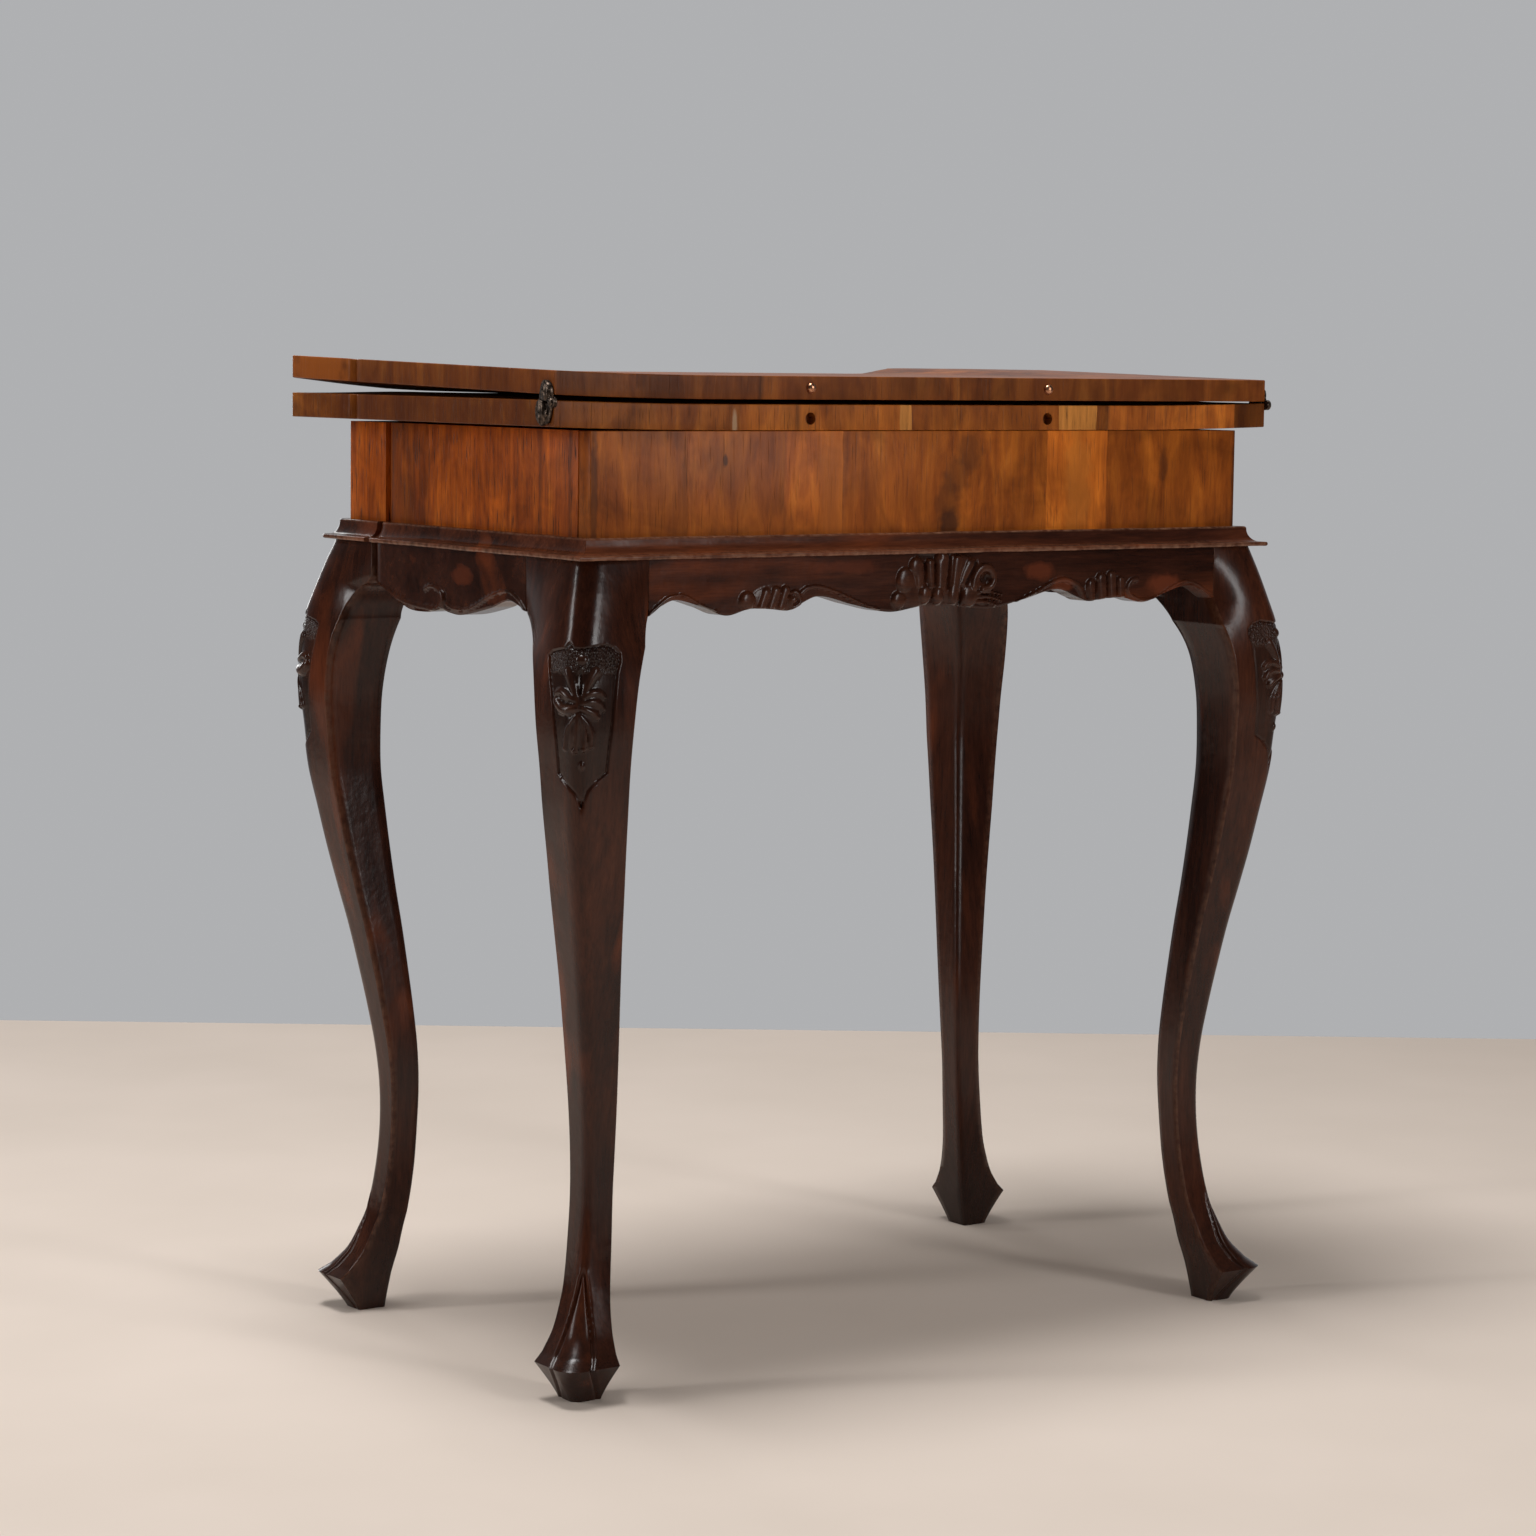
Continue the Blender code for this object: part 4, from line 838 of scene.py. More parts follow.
def long_drop(place, right_half, left_half):
    part = place / right_half if place > 0 else -place / left_half
    return APRON_DROP * smooth_share(LONG_SCALLOP_SHARES, 1 - part, 1)


def long_relief(u, v):
    return carve(u, v, LONG_STROKES, LONG_BALLS, LONG_CUTS)


def end_relief(u, v):
    return carve(u, v, END_STROKES, (), END_CUTS)


def long_places(right, left):
    """Places along a long apron, close together at the shell in its middle."""
    places = spaced(right, FINE_HALF, APRON_STEP) + spaced(FINE_HALF, -FINE_HALF, FINE_STEP)[1:]
    return places + spaced(-FINE_HALF, -left, APRON_STEP)[1:]


def build_aprons(look):
    right = END_FACE - LEGS["back_right"][2][0][0] - GAP
    left = END_FACE - LEGS["back_left"][2][0][0] - GAP
    half = FRONT_NOTCH - GAP
    start = BACK_FACE - LEGS["back_right"][2][1][0] - GAP
    finish = END_NOTCH + GAP

    def end_drop(place):
        return APRON_DROP * smooth_share(END_SCALLOP_SHARES, (start - place) / (start - finish), 1)

    apron_strip("apron_back", long_places(right, left), lambda place: long_drop(place, right, left),
                lambda place, out, level: (place, BACK_FACE + out, level),
                lambda place: 0.0, long_relief, look)
    apron_strip("apron_front", long_places(half, half), lambda place: long_drop(place, half, half),
                lambda place, out, level: (place, FRONT_FACE - out, level),
                front_draw, long_relief, look)
    for side_name, side in (("right", 1), ("left", -1)):
        apron_strip(f"apron_{side_name}", spaced(start, finish, APRON_STEP), end_drop,
                    lambda place, out, level, side=side: (side * (END_FACE + out), place, level),
                    lambda place: dent(place - END_NOTCH), end_relief, look)


def corner_arc(out_x, out_y, radius):
    """Front right corner in plan, from the end round to the front."""
    centre_x = END_FACE + out_x - radius
    centre_y = FRONT_FACE - out_y + radius
    return [(centre_x + radius * math.cos(angle), centre_y - radius * math.sin(angle))
            for angle in quarter_turn(CORNER_STEPS)]


def moulding_arc(out):
    """Front right corner of the moulding in plan, rounder the further out it lies."""
    return corner_arc(out, out, max(LEAST_ROUND, CORNER_ROUND + CORNER_GROWTH_SHARE * out))


def end_line(out):
    """Right end of the moulding in plan, from the back to the front corner's middle."""
    x = END_FACE + out
    line = [(x, y) for y in spaced(BACK_FACE + out, END_NOTCH + BUMP_LENGTH, MOULDING_STEP)[:-1]]
    line += [(x - dent(distance), END_NOTCH + distance) for distance in bump_distances()]
    return line + [(x, END_NOTCH)] + moulding_arc(out)[:CORNER_STEPS // 2 + 1]


def front_places():
    half = [FRONT_NOTCH - distance for distance in reversed(bump_distances())]
    half += spaced(half[-1], 0.0, MOULDING_STEP)[1:]
    return half + [-x for x in reversed(half[:-1])]


def front_line(out):
    """Front of the moulding in plan, from the right corner's middle to the left's."""
    y = FRONT_FACE - out
    arc = moulding_arc(out)[CORNER_STEPS // 2:]
    line = arc + [(FRONT_NOTCH, y)] + [(x, y + front_draw(x)) for x in front_places()]
    return line + [(-FRONT_NOTCH, y)] + [(-x, y) for x, y in reversed(arc)]


def back_line(out):
    """Back of the moulding in plan, from right to left."""
    shares = [1 - 2 * index / BACK_MOULDING_STEPS for index in range(BACK_MOULDING_STEPS + 1)]
    return [((END_FACE + out) * share, BACK_FACE + out) for share in shares]


def moulding_section():
    """Distance outside the box and height of each point round the moulding."""
    lip_top = BOX_FOOT + LIP_THICKNESS
    ledge_foot = MOULDING_TOP - LEDGE_EDGE
    points = [(GAP, BOX_FOOT), (LIP_OUT - LIP_EDGE, BOX_FOOT)]
    for step in range(1, LIP_STEPS):
        angle = math.pi * step / LIP_STEPS
        points.append((LIP_OUT - LIP_EDGE + LIP_EDGE * math.sin(angle),
                       BOX_FOOT + LIP_THICKNESS * (1 - math.cos(angle)) / 2))
    for angle in quarter_turn(COVE_STEPS):
        points.append((COVE_FOOT - (COVE_FOOT - LEDGE_OUT) * math.sin(angle),
                       lip_top + (ledge_foot - lip_top) * (1 - math.cos(angle))))
    for angle in quarter_turn(LEDGE_STEPS, 1):
        points.append((LEDGE_OUT - LEDGE_EDGE * (1 - math.cos(angle)),
                       MOULDING_TOP - LEDGE_EDGE * (1 - math.sin(angle))))
    return points + [(GAP, MOULDING_TOP)]


def wavered(point):
    """Point moved a little, as hand work wavers."""
    x, y, z = point
    place = Vector((x, y, z * WAVER_UPRIGHT_SHARE)) * WAVER_FREQUENCY
    shift = noise.noise_vector(place) * MOULDING_WAVER
    return (x + shift.x, y + shift.y, z + shift.z)


def build_mouldings(look):
    noise.seed_set(WAVER_SEED)
    section = moulding_section()

    def rings_of(line_of):
        lines = [line_of(out) for out, _ in section]
        return [[(*line[index], z) for line, (_, z) in zip(lines, section)] for index in range(len(lines[0]))]

    end = rings_of(end_line)
    end[0] = [(x, y - GAP, z) for x, y, z in end[0]]
    end[-1] = [(x, y + GAP, z) for x, y, z in end[-1]]
    front = rings_of(front_line)
    front[0] = [(x - GAP, y, z) for x, y, z in front[0]]
    front[-1] = [(x + GAP, y, z) for x, y, z in front[-1]]
    sides = {"right": end, "left": [[(-x, y, z) for x, y, z in ring] for ring in end],
             "front": front, "back": rings_of(back_line)}
    for name, rings in sides.items():
        points = [point for ring in rings for point in ring]
        heights = np.array([z for _, _, z in points])
        # Edges of the lip and of the ledge: wear, which the mouldings' bright colour turns into painted
        # glints
        wear_and_glint = np.clip(1 - (heights - BOX_FOOT) / (LIP_THICKNESS * 1.5), 0.0, 1.0)
        wear_and_glint = np.maximum(wear_and_glint, np.clip((heights - MOULDING_TOP + LEDGE_EDGE) / LEDGE_EDGE, 0.0, 1.0))
        make_piece(f"cove_moulding_{name}", "frame", [wavered(point) for point in points],
                   ring_faces(len(rings), len(section)), [f"moulding_{name}"], [look],
                   {"ground": np.zeros(len(points)), "wear_and_glint": wear_and_glint})


def dressed(node, body, look, bevel, end_look=None):
    """Copy of a CAD node with rounded edges, which stands for it. Its ends may have a look of their own."""
    made = linked(f"dressed_{node}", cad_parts[node].data.copy())
    mesh = bmesh.new()
    mesh.from_mesh(made.data)
    bmesh.ops.remove_doubles(mesh, verts=mesh.verts, dist=0.00001)
    bmesh.ops.dissolve_limit(mesh, angle_limit=math.radians(1), verts=mesh.verts, edges=mesh.edges)
    sharp = [edge for edge in mesh.edges if edge.is_manifold and edge.calc_face_angle() > BEVELLED_ANGLE]
    bmesh.ops.bevel(mesh, geom=sharp, offset=bevel, segments=2, affect='EDGES',
                    clamp_overlap=True, profile=0.5)
    bmesh.ops.recalc_face_normals(mesh, faces=mesh.faces)
    for face in mesh.faces:
        face.material_index = 1 if end_look and abs(face.normal.x) > 0.6 else 0
    mesh.to_mesh(made.data)
    mesh.free()
    made.data.materials.clear()
    made.data.materials.append(look)
    if end_look:
        made.data.materials.append(end_look)
    made.data.shade_smooth()
    made.data.set_sharp_from_angle(angle=DRESSED_ANGLE)
    settle(made, body, [node])


def leaf_outline():
    """Plan outline of a leaf, close points, the same for both."""
    arc = corner_arc(LEAF_END - END_FACE, FRONT_FACE - LEAF_FRONT, LEAF_CORNER_ROUND)
    right = [(LEAF_END, y) for y in spaced(BACK_FACE, END_NOTCH + BUMP_LENGTH, LEAF_STEP)[:-1]]
    right += [(LEAF_END - dent(distance), END_NOTCH + distance) for distance in bump_distances()]
    right += [(LEAF_END - NOTCH_DEPTH * (1 - part) ** 2, END_NOTCH - EAR_SWEEP * part)
              for part in (0.2, 0.4, 0.6, 0.8, 1.0)] + arc
    front = [(FRONT_NOTCH, LEAF_FRONT)]
    front += [(x, LEAF_FRONT + front_draw(x)) for x in front_places()]
    front += [(-FRONT_NOTCH, LEAF_FRONT)]
    left = [(-x, y) for x, y in reversed(right)]
    back = [(x, BACK_FACE) for x in spaced(-LEAF_END, LEAF_END, LEAF_STEP)[1:-1]]
    return right + front + left + back


def inset_outline(outline, distance):
    """Outline moved inwards by the average direction of its sides at each point."""
    count = len(outline)
    moved = []
    for index, point in enumerate(outline):
        before = Vector(outline[index - 1])
        after = Vector(outline[(index + 1) % count])
        here = Vector(point)
        first = (here - before).normalized()
        second = (after - here).normalized()
        normal = Vector((-first.y - second.y, first.x + second.x))
        share = 1 / max(0.5, normal.length / 2)
        moved.append(tuple(here - normal.normalized() * distance * min(share, 1.6)))
    return moved


def curl(x, y, lifts):
    """How far an old board has curled up at a place: its middle stays flat."""
    reach = LEAF_END - CURL_START
    outward = max(0.0, abs(x) - CURL_START) / reach
    back_lift, front_lift, ear_lift = lifts[0] if x > 0 else lifts[1]
    part = (BACK_FACE - y) / (BACK_FACE - LEAF_FRONT)
    ear = ear_lift * smooth_step((abs(x) - EAR_START) / EAR_RISE) * min(1.0, part / EAR_SHARE)
    return outward ** 2 * (back_lift + (front_lift - back_lift) * part) + ear


def swelling(x, y, extra, crown):
    """How much higher than flat the top of a leaf is: its extra thickness, and its crown inside the edges."""
    inside = min(LEAF_END - abs(x), BACK_FACE - y, y - LEAF_FRONT)
    return extra + crown * smooth_step(inside / CROWN_REACH)


def filled(outline):
    """Points of a grid inside an outline, and triangles over them and the outline's own points."""
    xs, ys = np.meshgrid(spaced(-LEAF_END, LEAF_END, LEAF_GRID), spaced(LEAF_FRONT, BACK_FACE, LEAF_GRID))
    inside = inside_distance(xs, ys, outline) > LEAF_GRID / 3
    added = list(zip(xs[inside], ys[inside]))
    count = len(outline)
    edges = [(index, (index + 1) % count) for index in range(count)]
    points = [Vector(point) for point in outline + added]
    _, _, triangles, sources, _, _ = delaunay_2d_cdt(points, edges, [], 1, 1e-7)
    return added, [tuple(sources[index][0] for index in triangle) for triangle in triangles]


def edge_rings(outline):
    """Rounded lower edge of a leaf: rings and their heights above its underside."""
    return [(inset_outline(outline, LEAF_EDGE * (1 - math.sin(angle))), LEAF_EDGE * (1 - math.cos(angle)))
            for angle in quarter_turn(LEAF_EDGE_STEPS)]


def build_leaf(name, bottom, lifts, looks, extra, crown, inner_up):
    """Leaf from rings up its edge, with its underside and its top filled in."""
    outline = leaf_outline()
    width = len(outline)
    rounded = edge_rings(outline)
    straight = LEAF_THICKNESS - 2 * LEAF_EDGE
    rings = rounded + [(outline, LEAF_EDGE + straight * share) for share in (0.35, 0.65)]
    rings += [(ring, LEAF_THICKNESS - level) for ring, level in reversed(rounded)]

    def placed(x, y, level):
        wave = EDGE_WAVE * noise.noise(Vector((x * WAVE_FREQUENCY, y * WAVE_FREQUENCY,
                                               bottom * WAVE_HEIGHT_FREQUENCY)))
        edge = wave if 0.0 < level < LEAF_THICKNESS else 0.0
        swell = swelling(x, y, extra, crown) if level > LEAF_THICKNESS / 2 else 0.0
        return (x, y + edge, bottom + level + swell + curl(x, y, lifts))

    verts = [placed(x, y, level) for ring, level in rings for x, y in ring]
    faces = ring_faces(len(rings), width)[:-2]
    face_looks = [1] * len(faces)
    added, triangles = filled(rounded[0][0])
    for base, level, look in ((0, 0.0, 0 if inner_up else 2),
                              (len(verts) - width, LEAF_THICKNESS, 2 if inner_up else 0)):
        start = len(verts) - width
        verts += [placed(x, y, level) for x, y in added]
        for triangle in triangles:
            faces.append(tuple((base if index < width else start) + index for index in triangle))
        face_looks += [look] * len(triangles)
    return make_piece(f"veneered_{name}", name, verts, faces, [name], looks,
                      None, face_looks)


def cut_with(made, cutter):
    """Cut a shape out of a piece, and throw the cutter away."""
    change = made.modifiers.new("cut", 'BOOLEAN')
    change.operation = 'DIFFERENCE'
    change.object = cutter
    change.solver = 'EXACT'
    bpy.context.view_layer.update()
    evaluated = made.evaluated_get(bpy.context.evaluated_depsgraph_get())
    data = bpy.data.meshes.new_from_object(evaluated)
    made.modifiers.clear()
    data.shade_smooth()
    data.set_sharp_from_angle(angle=TURNED_ANGLE)
    made.data = data
    bpy.data.objects.remove(cutter, do_unlink=True)


def turned(name, profile, foot, direction, sides=32):
    """Solid of revolution: profile of (radius, distance) from foot along direction."""
    turn = Vector((0, 0, 1)).rotation_difference(Vector(direction)).to_matrix()
    verts = []
    for radius, distance in profile:
        for step in range(sides):
            angle = 2 * math.pi * step / sides
            local = Vector((radius * math.cos(angle), radius * math.sin(angle), distance))
            verts.append(Vector(foot) + turn @ local)
    return linked(name, smooth_mesh(name, verts, ring_faces(len(profile), sides), TURNED_ANGLE))


def build_leaves(face_look, upper_edge, lower_edge, painted_shade_inner_look):
    even = (LOWER_CURL, LOWER_CURL, 0.0)
    lower = build_leaf("lower_leaf", LOWER_LEAF_FOOT, (even, even), [face_look, lower_edge, painted_shade_inner_look],
                       LOWER_EXTRA, LEAF_CROWN, True)
    uneven = ((UPPER_CURL_BACK, UPPER_CURL_FRONT, 0.0), (0.0, 0.0, EAR_LIFT))
    build_leaf("upper_leaf", UPPER_LEAF_FOOT, uneven, [face_look, upper_edge, painted_shade_inner_look], 0.0, 0.0, False)
    stud_z = UPPER_LEAF_FOOT + LEAF_THICKNESS / 2
    fold_z = (LOWER_LEAF_FOOT + LEAF_THICKNESS + UPPER_LEAF_FOOT) / 2
    for side in (1, -1):
        hole = turned("hole", [(STUD_HOLE_RADIUS, CUTTER_START), (STUD_HOLE_RADIUS, STUD_HOLE_DEPTH)],
                      (side * STUD_SPACING / 2, BACK_FACE, 2 * fold_z - stud_z), (0, -1, 0))
        cut_with(lower, hole)


def build_studs(look):
    for side_name, side in (("right", 1), ("left", -1)):
        node = f"alignment_stud_{side_name}"
        low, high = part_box(node)
        radius = (high.z - low.z) / 2
        proud = high.y - BACK_FACE
        shank = radius * STUD_SHANK_SHARE
        profile = [(shank, -STUD_SHANK_LENGTH), (shank, 0.0), (radius, 0.0), (radius, proud * STUD_RIM_SHARE)]
        for angle in quarter_turn(STUD_STEPS, 1)[:-1]:
            rise = STUD_RIM_SHARE + (1 - STUD_RIM_SHARE) * math.sin(angle)
            profile.append((radius * math.cos(angle), proud * rise))
        foot = (side * STUD_SPACING / 2, BACK_FACE, (low.z + high.z) / 2)
        made = turned(f"round_stud_{side_name}", profile, foot, (0, 1, 0))
        made.data.materials.append(look)
        settle(made, "upper_leaf", [node])


def oval_dome(name, body, side, centre, radii, foot, rise, look):
    """Ribbed oval dome on a leaf's end, its centre as steps along Y and Z from the hinge's axis."""
    low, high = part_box("hinge_pin_right")
    middle_y = (low.y + high.y) / 2 + centre[0]
    middle_z = (low.z + high.z) / 2 + centre[1]
    verts = []
    for reach in DOME_REACHES:
        for step in range(DOME_SIDES):
            angle = 2 * math.pi * step / DOME_SIDES
            across = reach * math.cos(angle)
            ribs = 1 + DOME_RIB_SHARE * math.cos(3 * math.pi * across)
            out = foot + rise * ribs * math.sqrt(1 - reach ** 4)
            verts.append((side * (LEAF_END + out), middle_y + radii[0] * across,
                          middle_z + radii[1] * reach * math.sin(angle)))
    base = [(side * LEAF_END, y, z) for _, y, z in verts[:DOME_SIDES]]
    make_piece(name, body, base + verts, ring_faces(len(DOME_REACHES) + 1, DOME_SIDES),
               [], [look])


def build_hinge_domes(look):
    for side_name, side in (("right", 1), ("left", -1)):
        for leaf, (centre, radii, foot, rise) in HINGE_DOMES.items():
            oval_dome(f"hinge_dome_{leaf}_{side_name}", f"{leaf}_leaf", side, centre, radii, foot, rise, look)


def build_box(end_look, long_look):
    for side in ("back", "front"):
        dressed(f"box_{side}", "frame", long_look, WOOD_BEVEL, end_look)
    for side in ("left", "right"):
        dressed(f"box_{side}", "frame", end_look, WOOD_BEVEL)


def build_fittings(plain, iron):
    for node, body in (("box_bottom", "frame"), ("pivot_rail", "frame"), ("swivel_stop", "lower_leaf")):
        dressed(node, body, plain, WOOD_BEVEL)
    for leg in LEGS:
        dressed(f"corner_brace_{leg}", "frame", plain, BRACE_BEVEL)
    for node in ("pivot_bolt", "pivot_washer", "pivot_nut"):
        dressed(node, "lower_leaf", iron, IRON_BEVEL)
    for side in ("left", "right"):
        for leaf in ("lower", "upper"):
            dressed(f"hinge_{leaf}_plate_{side}", f"{leaf}_leaf", iron, PLATE_BEVEL)
        dressed(f"hinge_pin_{side}", "lower_leaf", iron, IRON_BEVEL)
        for leaf in ("lower", "upper"):
            dressed(f"hinge_screw_{leaf}_{side}", f"{leaf}_leaf", iron, IRON_BEVEL)


def add(tree, kind, inputs=None, **settings):
    """Shader node with its settings, and its inputs by name or number as values or links."""
    made = tree.nodes.new("ShaderNode" + kind)
    for key, value in settings.items():
        setattr(made, key, value)
    for key, value in (inputs or {}).items():
        if isinstance(value, bpy.types.NodeSocket):
            tree.links.new(value, made.inputs[key])
        else:
            made.inputs[key].default_value = value
    return made


def mixed(tree, factor, first, second, blend='MIX'):
    made = add(tree, "Mix", {0: factor, 6: first, 7: second}, data_type='RGBA', blend_type=blend)
    return made.outputs[2]


def ramp(tree, factor, stops, interpolation='LINEAR'):
    """Colour ramp. A stop is a place and a colour or a grey."""
    made = add(tree, "ValToRGB", {0: factor})
    made.color_ramp.interpolation = interpolation
    elements = made.color_ramp.elements
    while len(elements) < len(stops):
        elements.new(0.5)
    for element, (place, colour) in zip(elements, stops):
        element.position = place
        element.color = (*colour, 1.0) if isinstance(colour, tuple) else (colour, colour, colour, 1.0)
    return made.outputs[0]


def maths(tree, operation, first, second):
    return add(tree, "Math", {0: first, 1: second}, operation=operation).outputs[0]


def vector_maths(tree, operation, first, second):
    """Sum on three numbers at once."""
    return add(tree, "VectorMath", {0: first, 1: second}, operation=operation).outputs[0]


def noised(tree, vector, scale, stretch=(1, 1, 1), detail=4.0, roughness=0.55, distortion=0.0):
    moved = add(tree, "Mapping", {"Vector": vector, "Scale": stretch}).outputs[0]
    made = add(tree, "TexNoise", {"Vector": moved, "Scale": scale, "Detail": detail,
                                  "Roughness": roughness, "Distortion": distortion})
    return made.outputs["Fac"]


def streaked(tree, vector, grain_axis, along, across, detail, roughness=0.6, distortion=0.0):
    """Noise drawn out along the grain, with its scales along and across it."""
    stretch = tuple(along if axis == grain_axis else across for axis in range(3))
    return noised(tree, vector, 1.0, stretch, detail, roughness, distortion)


def scaled(colour, share):
    return tuple(value * share for value in colour)


def scaled_stops(stops, share):
    return [(place, scaled(colour, share)) for place, colour in stops]


def new_look(name, roughness, metallic=0.0, specular=0.5):
    made = bpy.data.materials.new(name)
    made.use_nodes = True
    tree = made.node_tree
    shader = tree.nodes["Principled BSDF"]
    shader.inputs["Metallic"].default_value = metallic
    shader.inputs["Roughness"].default_value = roughness
    shader.inputs["Specular IOR Level"].default_value = specular
    where = add(tree, "TexCoord").outputs["Object"]
    return made, tree, where


def finished(made, colour, height, distance, strength, rough=None):
    """Look with its colour, its relief and, where it varies, its roughness joined to the shader."""
    tree = made.node_tree
    shader = tree.nodes["Principled BSDF"]
    bump = add(tree, "Bump", {"Height": height, "Distance": distance, "Strength": strength})
    tree.links.new(colour, shader.inputs["Base Color"])
    tree.links.new(bump.outputs[0], shader.inputs["Normal"])
    if rough is not None:
        tree.links.new(rough, shader.inputs["Roughness"])
    return made


def marked(tree, where, colour, mark):
    """Colour with a knot, stain or filling at a place, its edge a little ragged."""
    centre, radii, tint, strength = mark
    offset = vector_maths(tree, 'SUBTRACT', where, centre)
    ragged = add(tree, "TexNoise", {"Vector": where, "Scale": 90.0, "Detail": 3.0}).outputs["Color"]
    ragged = vector_maths(tree, 'SUBTRACT', ragged, (0.5, 0.5, 0.5))
    ragged = vector_maths(tree, 'MULTIPLY', ragged, radii)
    offset = vector_maths(tree, 'ADD', offset, ragged)
    offset = vector_maths(tree, 'DIVIDE', offset, radii)
    length = add(tree, "VectorMath", {0: offset}, operation='LENGTH').outputs["Value"]
    amount = ramp(tree, length, [(0.55, strength), (1.0, 0.0)])
    return mixed(tree, amount, colour, (*tint, 1.0))


def shade_at(tree, name):
    """Number kept at each vertex of a piece."""
    return add(tree, "Attribute", attribute_name=name).outputs["Fac"]


def stain_relief(tree, where, fine):
    """Height of the stained wood: its grain, the marks of tools and the punched ground."""
    cells = add(tree, "TexVoronoi", {"Vector": where, "Scale": 520.0}, feature='F1').outputs["Distance"]
    stipple = maths(tree, 'MULTIPLY', cells, shade_at(tree, "punched"))
    height = maths(tree, 'ADD', maths(tree, 'MULTIPLY', fine, 0.05), maths(tree, 'MULTIPLY', stipple, 2.2))
    dents = noised(tree, where, 90.0, detail=2.0)
    return maths(tree, 'ADD', height, maths(tree, 'MULTIPLY', dents, 0.5))


def stained_look(name, grain_axis, reddish=1.0, light=1.0, marks=(), rub_and_glint=RUB):
    """Dark stain over walnut, rubbed red on the high places, waxed. Carved hollows and cuts get painted
    shade, the feet darken towards the bottom, and on the mouldings a bright colour paints glints along the
    edges.
    """
    made, tree, where = new_look(name, 0.25, specular=STAIN_SPECULAR)
    grain = streaked(tree, where, grain_axis, 20, 190, 6.0, 0.62)
    fine = streaked(tree, where, grain_axis, 60, 700, 4.0)
    broad = streaked(tree, where, grain_axis, 3, 15, 3.0)
    rubs = streaked(tree, where, grain_axis, 6, 22, 2.0, 0.5, 0.4)
    share = ramp(tree, broad, [(0.38, 0.0), (0.66, 0.8 * reddish)])
    colour = mixed(tree, share, ramp(tree, grain, scaled_stops(STAIN_DARK, light)),
                   ramp(tree, grain, scaled_stops(STAIN_WARM, light)))
    spots = ramp(tree, rubs, [(0.60, 0.0), (0.72, 0.85 * reddish)])
    colour = mixed(tree, spots, colour, STAIN_SPOT)
    patchy = ramp(tree, noised(tree, where, 160.0, detail=3.0), [(0.35, 0.1), (0.65, 0.8)])
    # Wear, and on the mouldings painted glints along the edges
    wear_and_glint = maths(tree, 'MULTIPLY', shade_at(tree, "wear_and_glint"), patchy)
    colour = mixed(tree, wear_and_glint, colour, (*rub_and_glint, 1.0))
    # Painted shade in carved hollows and cuts, and the darker feet
    ground = maths(tree, 'MULTIPLY', shade_at(tree, "ground"), 0.55)
    colour = mixed(tree, ground, colour, PAINTED_SHADE_AND_DARK_FEET)
    colour = mixed(tree, 1.0, colour, ramp(tree, fine, [(0.3, 0.75), (0.6, 1.1)]), 'MULTIPLY')
    for mark in marks:
        colour = marked(tree, where, colour, mark)
    rough = ramp(tree, broad, [(0.3, 0.16), (0.7, 0.28)])
    return finished(made, colour, stain_relief(tree, where, fine), 0.0006, 0.8, rough)


def veneer_wood(tree, moved, tone, grain, grain_axis, light, contrast):
    """Colour of the veneer's wood, without its joints, strips and marks."""
    figure = streaked(tree, moved, grain_axis, 11, 48, 4.0, 0.6, 0.9)
    clouds = streaked(tree, moved, grain_axis, 19, 16, 3.0, 0.6, 0.8)
    layers = [
        ramp(tree, grain, [(0.30, 1 - 0.4 * contrast), (0.5, 1.0), (0.72, 1 + 0.3 * contrast)]),
        ramp(tree, clouds, [(0.30, 0.70), (0.50, 1.0), (0.70, 1.28)]),
        ramp(tree, tone, [(0.0, scaled(light, 0.28)), (0.25, scaled(light, 0.72)),
                          (0.5, light), (1.0, scaled(light, 1.7))]),
    ]
    colour = ramp(tree, figure, FIGURE_TONES)
    for layer in layers:
        colour = mixed(tree, 1.0, colour, layer, 'MULTIPLY')
    return colour


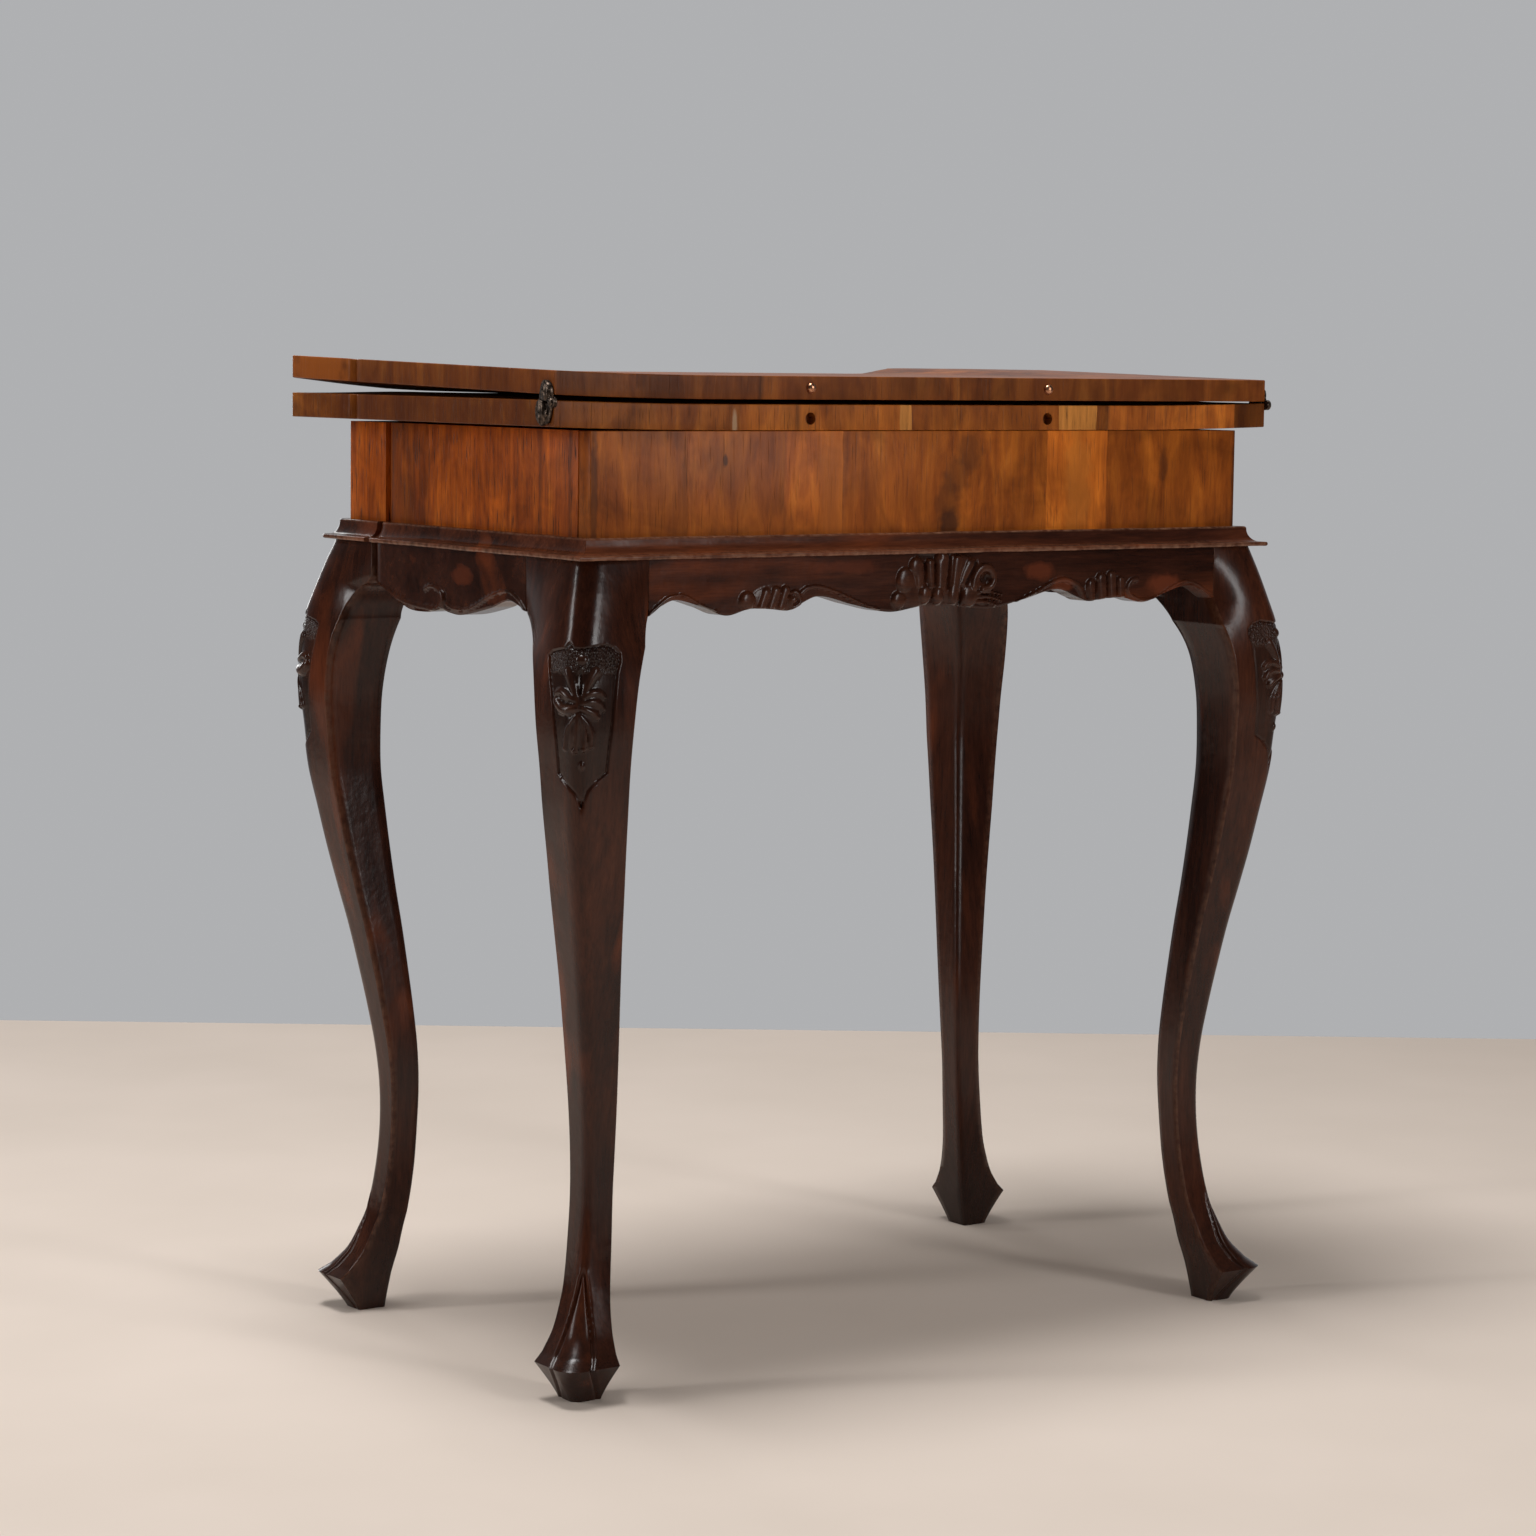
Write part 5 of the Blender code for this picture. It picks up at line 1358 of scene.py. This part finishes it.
def veneer_look(name, along, grain_axis, patches, light, marks=(), strips=(), contrast=1.0,
                roughness=0.36, specular=0.15):
    """Walnut veneer with its grain along one axis, laid in patches along another axis."""
    made, tree, where = new_look(name, roughness, specular=specular)
    axes = add(tree, "SeparateXYZ", {0: where})
    wobble = maths(tree, 'SUBTRACT', noised(tree, where, 30.0, detail=2.0), 0.5)
    place = maths(tree, 'ADD', axes.outputs[along], 0.5)
    place = maths(tree, 'ADD', place, maths(tree, 'MULTIPLY', wobble, 0.004))
    tone = ramp(tree, place, patches, 'CONSTANT')
    shift = add(tree, "CombineXYZ", {grain_axis: maths(tree, 'MULTIPLY', tone, 9.0)}).outputs[0]
    moved = vector_maths(tree, 'ADD', where, shift)
    grain = streaked(tree, moved, grain_axis, 16, 230, 6.0, 0.7, 0.3)
    pores = streaked(tree, moved, grain_axis, 34, 620, 2.0, 0.5)
    dashes = ramp(tree, pores, [(0.60, 0.0), (0.68, 0.85 * contrast)])
    colour = veneer_wood(tree, moved, tone, grain, grain_axis, light, contrast)
    colour = mixed(tree, dashes, colour, PORE)
    for joint, _ in patches[1:]:
        line = ramp(tree, place, [(joint - JOINT_HALF, 0.0), (joint, 0.6), (joint + JOINT_HALF, 0.0)])
        colour = mixed(tree, line, colour, JOINT)
    for start, finish, tint, shown in strips:
        strip = ramp(tree, place, [(0.0, 0.0), (start, shown), (finish, 0.0)], 'CONSTANT')
        wood = ramp(tree, grain, [(0.34, scaled(tint, 0.30)), (0.44, scaled(tint, 0.75)), (0.62, tint)])
        colour = mixed(tree, strip, colour, wood)
    for mark in marks:
        colour = marked(tree, where, colour, mark)
    return finished(made, colour, maths(tree, 'SUBTRACT', grain, dashes), 0.00025, 0.7)


def plain_look(name):
    """Bare wood, matt."""
    made, tree, where = new_look(name, 0.68)
    grain = streaked(tree, where, ALONG_X, 6, 160, 5.0)
    return finished(made, ramp(tree, grain, BARE_WOOD), grain, 0.0004, 0.6)


def metal_look(name, metallic, tones, scale, detail, distance, strength, rough_stops):
    """Metal that is dull and bright in spots."""
    made, tree, where = new_look(name, 0.35, metallic)
    spots = noised(tree, where, scale, detail=detail)
    rough = ramp(tree, spots, rough_stops)
    return finished(made, ramp(tree, spots, tones), spots, distance, strength, rough)


def build_stage():
    steps = ((FLOOR_FAR, FLOOR_SIZE), (FLOOR_FAR, -FLOOR_SIZE),
             (-FLOOR_SIZE, -FLOOR_SIZE), (-FLOOR_SIZE, FLOOR_SIZE))
    corners = [AHEAD * far + SIDEWAYS * side for far, side in steps]
    data = bpy.data.meshes.new("floor")
    data.from_pydata([tuple(corner) for corner in corners], [], [(0, 1, 2, 3)])
    look, tree, where = new_look("floor_look", 0.85, specular=0.2)
    colour = ramp(tree, noised(tree, where, 3.0, detail=3.0), FLOOR_TONES)
    tree.links.new(colour, tree.nodes["Principled BSDF"].inputs["Base Color"])
    data.materials.append(look)
    linked("floor", data)


def build_lamps():
    for name, ((sideways, ahead, up), size, watts) in LAMPS.items():
        data = bpy.data.lights.new(name, 'AREA')
        data.shape = 'RECTANGLE'
        data.size, data.size_y = size
        data.energy = watts
        lamp = linked(name, data)
        lamp.location = sideways * SIDEWAYS + ahead * AHEAD + up * UPWARDS
        lamp.rotation_euler = (LIT_PLACE - lamp.location).to_track_quat('-Z', 'Y').to_euler()
        lamp.visible_camera = False


def build_world():
    """Room light, the wall behind the object, and the wall as glossy surfaces mirror it."""
    world = bpy.data.worlds.new("studio")
    bpy.context.scene.world = world
    world.use_nodes = True
    tree = world.node_tree
    tree.nodes.clear()
    path = add(tree, "LightPath")
    seen = maths(tree, 'MAXIMUM', path.outputs["Is Camera Ray"], path.outputs["Is Transmission Ray"])
    direction = add(tree, "TexCoord").outputs["Generated"]
    towards = add(tree, "VectorMath", {0: direction, 1: tuple(AHEAD)}, operation='DOT_PRODUCT')
    share = ramp(tree, towards.outputs["Value"], MIRRORED_WALL)
    light = add(tree, "Background", {"Color": ROOM_LIGHT, "Strength": ROOM_STRENGTH})
    wall = add(tree, "Background", {"Color": WALL_COLOUR, "Strength": 1.0})
    mirrored = add(tree, "Background", {"Color": WALL_COLOUR, "Strength": share})
    plain = add(tree, "MixShader", {0: seen, 1: light.outputs[0], 2: wall.outputs[0]})
    glossy = path.outputs["Is Glossy Ray"]
    both = add(tree, "MixShader", {0: glossy, 1: plain.outputs[0], 2: mirrored.outputs[0]})
    add(tree, "OutputWorld", {0: both.outputs[0]})


def build_camera():
    look = AHEAD * math.cos(CAMERA_PITCH) - UPWARDS * math.sin(CAMERA_PITCH)
    upright = SIDEWAYS.cross(look)
    right = SIDEWAYS * math.cos(CAMERA_ROLL) + upright * math.sin(CAMERA_ROLL)
    up = right.cross(look)
    data = bpy.data.cameras.new("camera")
    data.lens = CAMERA_LENS
    data.sensor_width = CAMERA_SENSOR
    camera = linked("camera", data)
    placed = Matrix((right, up, -look)).transposed().to_4x4()
    placed.translation = CAMERA_PLACE
    camera.matrix_world = placed
    bpy.context.scene.camera = camera


stained_leg = stained_look("stained_leg", UPRIGHT)
stained_long = stained_look("stained_long", ALONG_X, marks=APRON_MARKS)
# Mouldings, whose edges are painted with glints
stained_moulding = stained_look("stained_moulding", ALONG_X, 1.6, 1.75, rub_and_glint=RUB_AND_PAINTED_GLINT)
end_veneer = veneer_look("end_veneer", ALONG_Y, UPRIGHT, END_PATCHES, (1.22, 0.98, 0.50), (), END_STRIPS)
long_veneer = veneer_look("long_veneer", ALONG_X, UPRIGHT, BOX_PATCHES, (1.35, 1.30, 0.90),
                          BOX_MARKS, (), 0.4)
upper_edge_veneer = veneer_look("upper_edge_veneer", ALONG_X, UPRIGHT, UPPER_PATCHES, (0.86, 0.88, 0.95),
                                UPPER_MARKS, (), 0.35)
lower_edge_veneer = veneer_look("lower_edge_veneer", ALONG_X, UPRIGHT, LOWER_PATCHES, (1.16, 1.22, 1.10),
                                LOWER_MARKS, LOWER_STRIPS, 0.5)
face_veneer = veneer_look("face_veneer", ALONG_X, ALONG_Y, FACE_PATCHES, (0.9, 0.9, 0.9), specular=0.25)
# Darker, duller copy of the face veneer on the faces that meet inside the fold: painted shade between the
# leaves
painted_shade_inner_veneer = veneer_look("painted_shade_inner_veneer", ALONG_X, ALONG_Y, FACE_PATCHES, (0.6, 0.6, 0.6),
                           roughness=0.7, specular=0.1)
bare_wood = plain_look("bare_wood")
worn_iron = metal_look("worn_iron", 0.9, IRON_TONES, 420.0, 4.0, 0.0003, 0.8, [(0.3, 0.26), (0.8, 0.46)])
rubbed_copper = metal_look("rubbed_copper", 1.0, COPPER_TONES, 600.0, 3.0, 0.0001, 0.5,
                           [(0.3, 0.24), (0.8, 0.42)])

for leg_name in LEGS:
    build_leg(leg_name, stained_leg)
build_aprons(stained_long)
build_mouldings(stained_moulding)
build_box(end_veneer, long_veneer)
build_leaves(face_veneer, upper_edge_veneer, lower_edge_veneer, painted_shade_inner_veneer)
build_studs(rubbed_copper)
build_fittings(bare_wood, worn_iron)
build_hinge_domes(worn_iron)
build_stage()
build_world()
build_lamps()
build_camera()

bpy.context.scene.view_settings.view_transform = 'Standard'
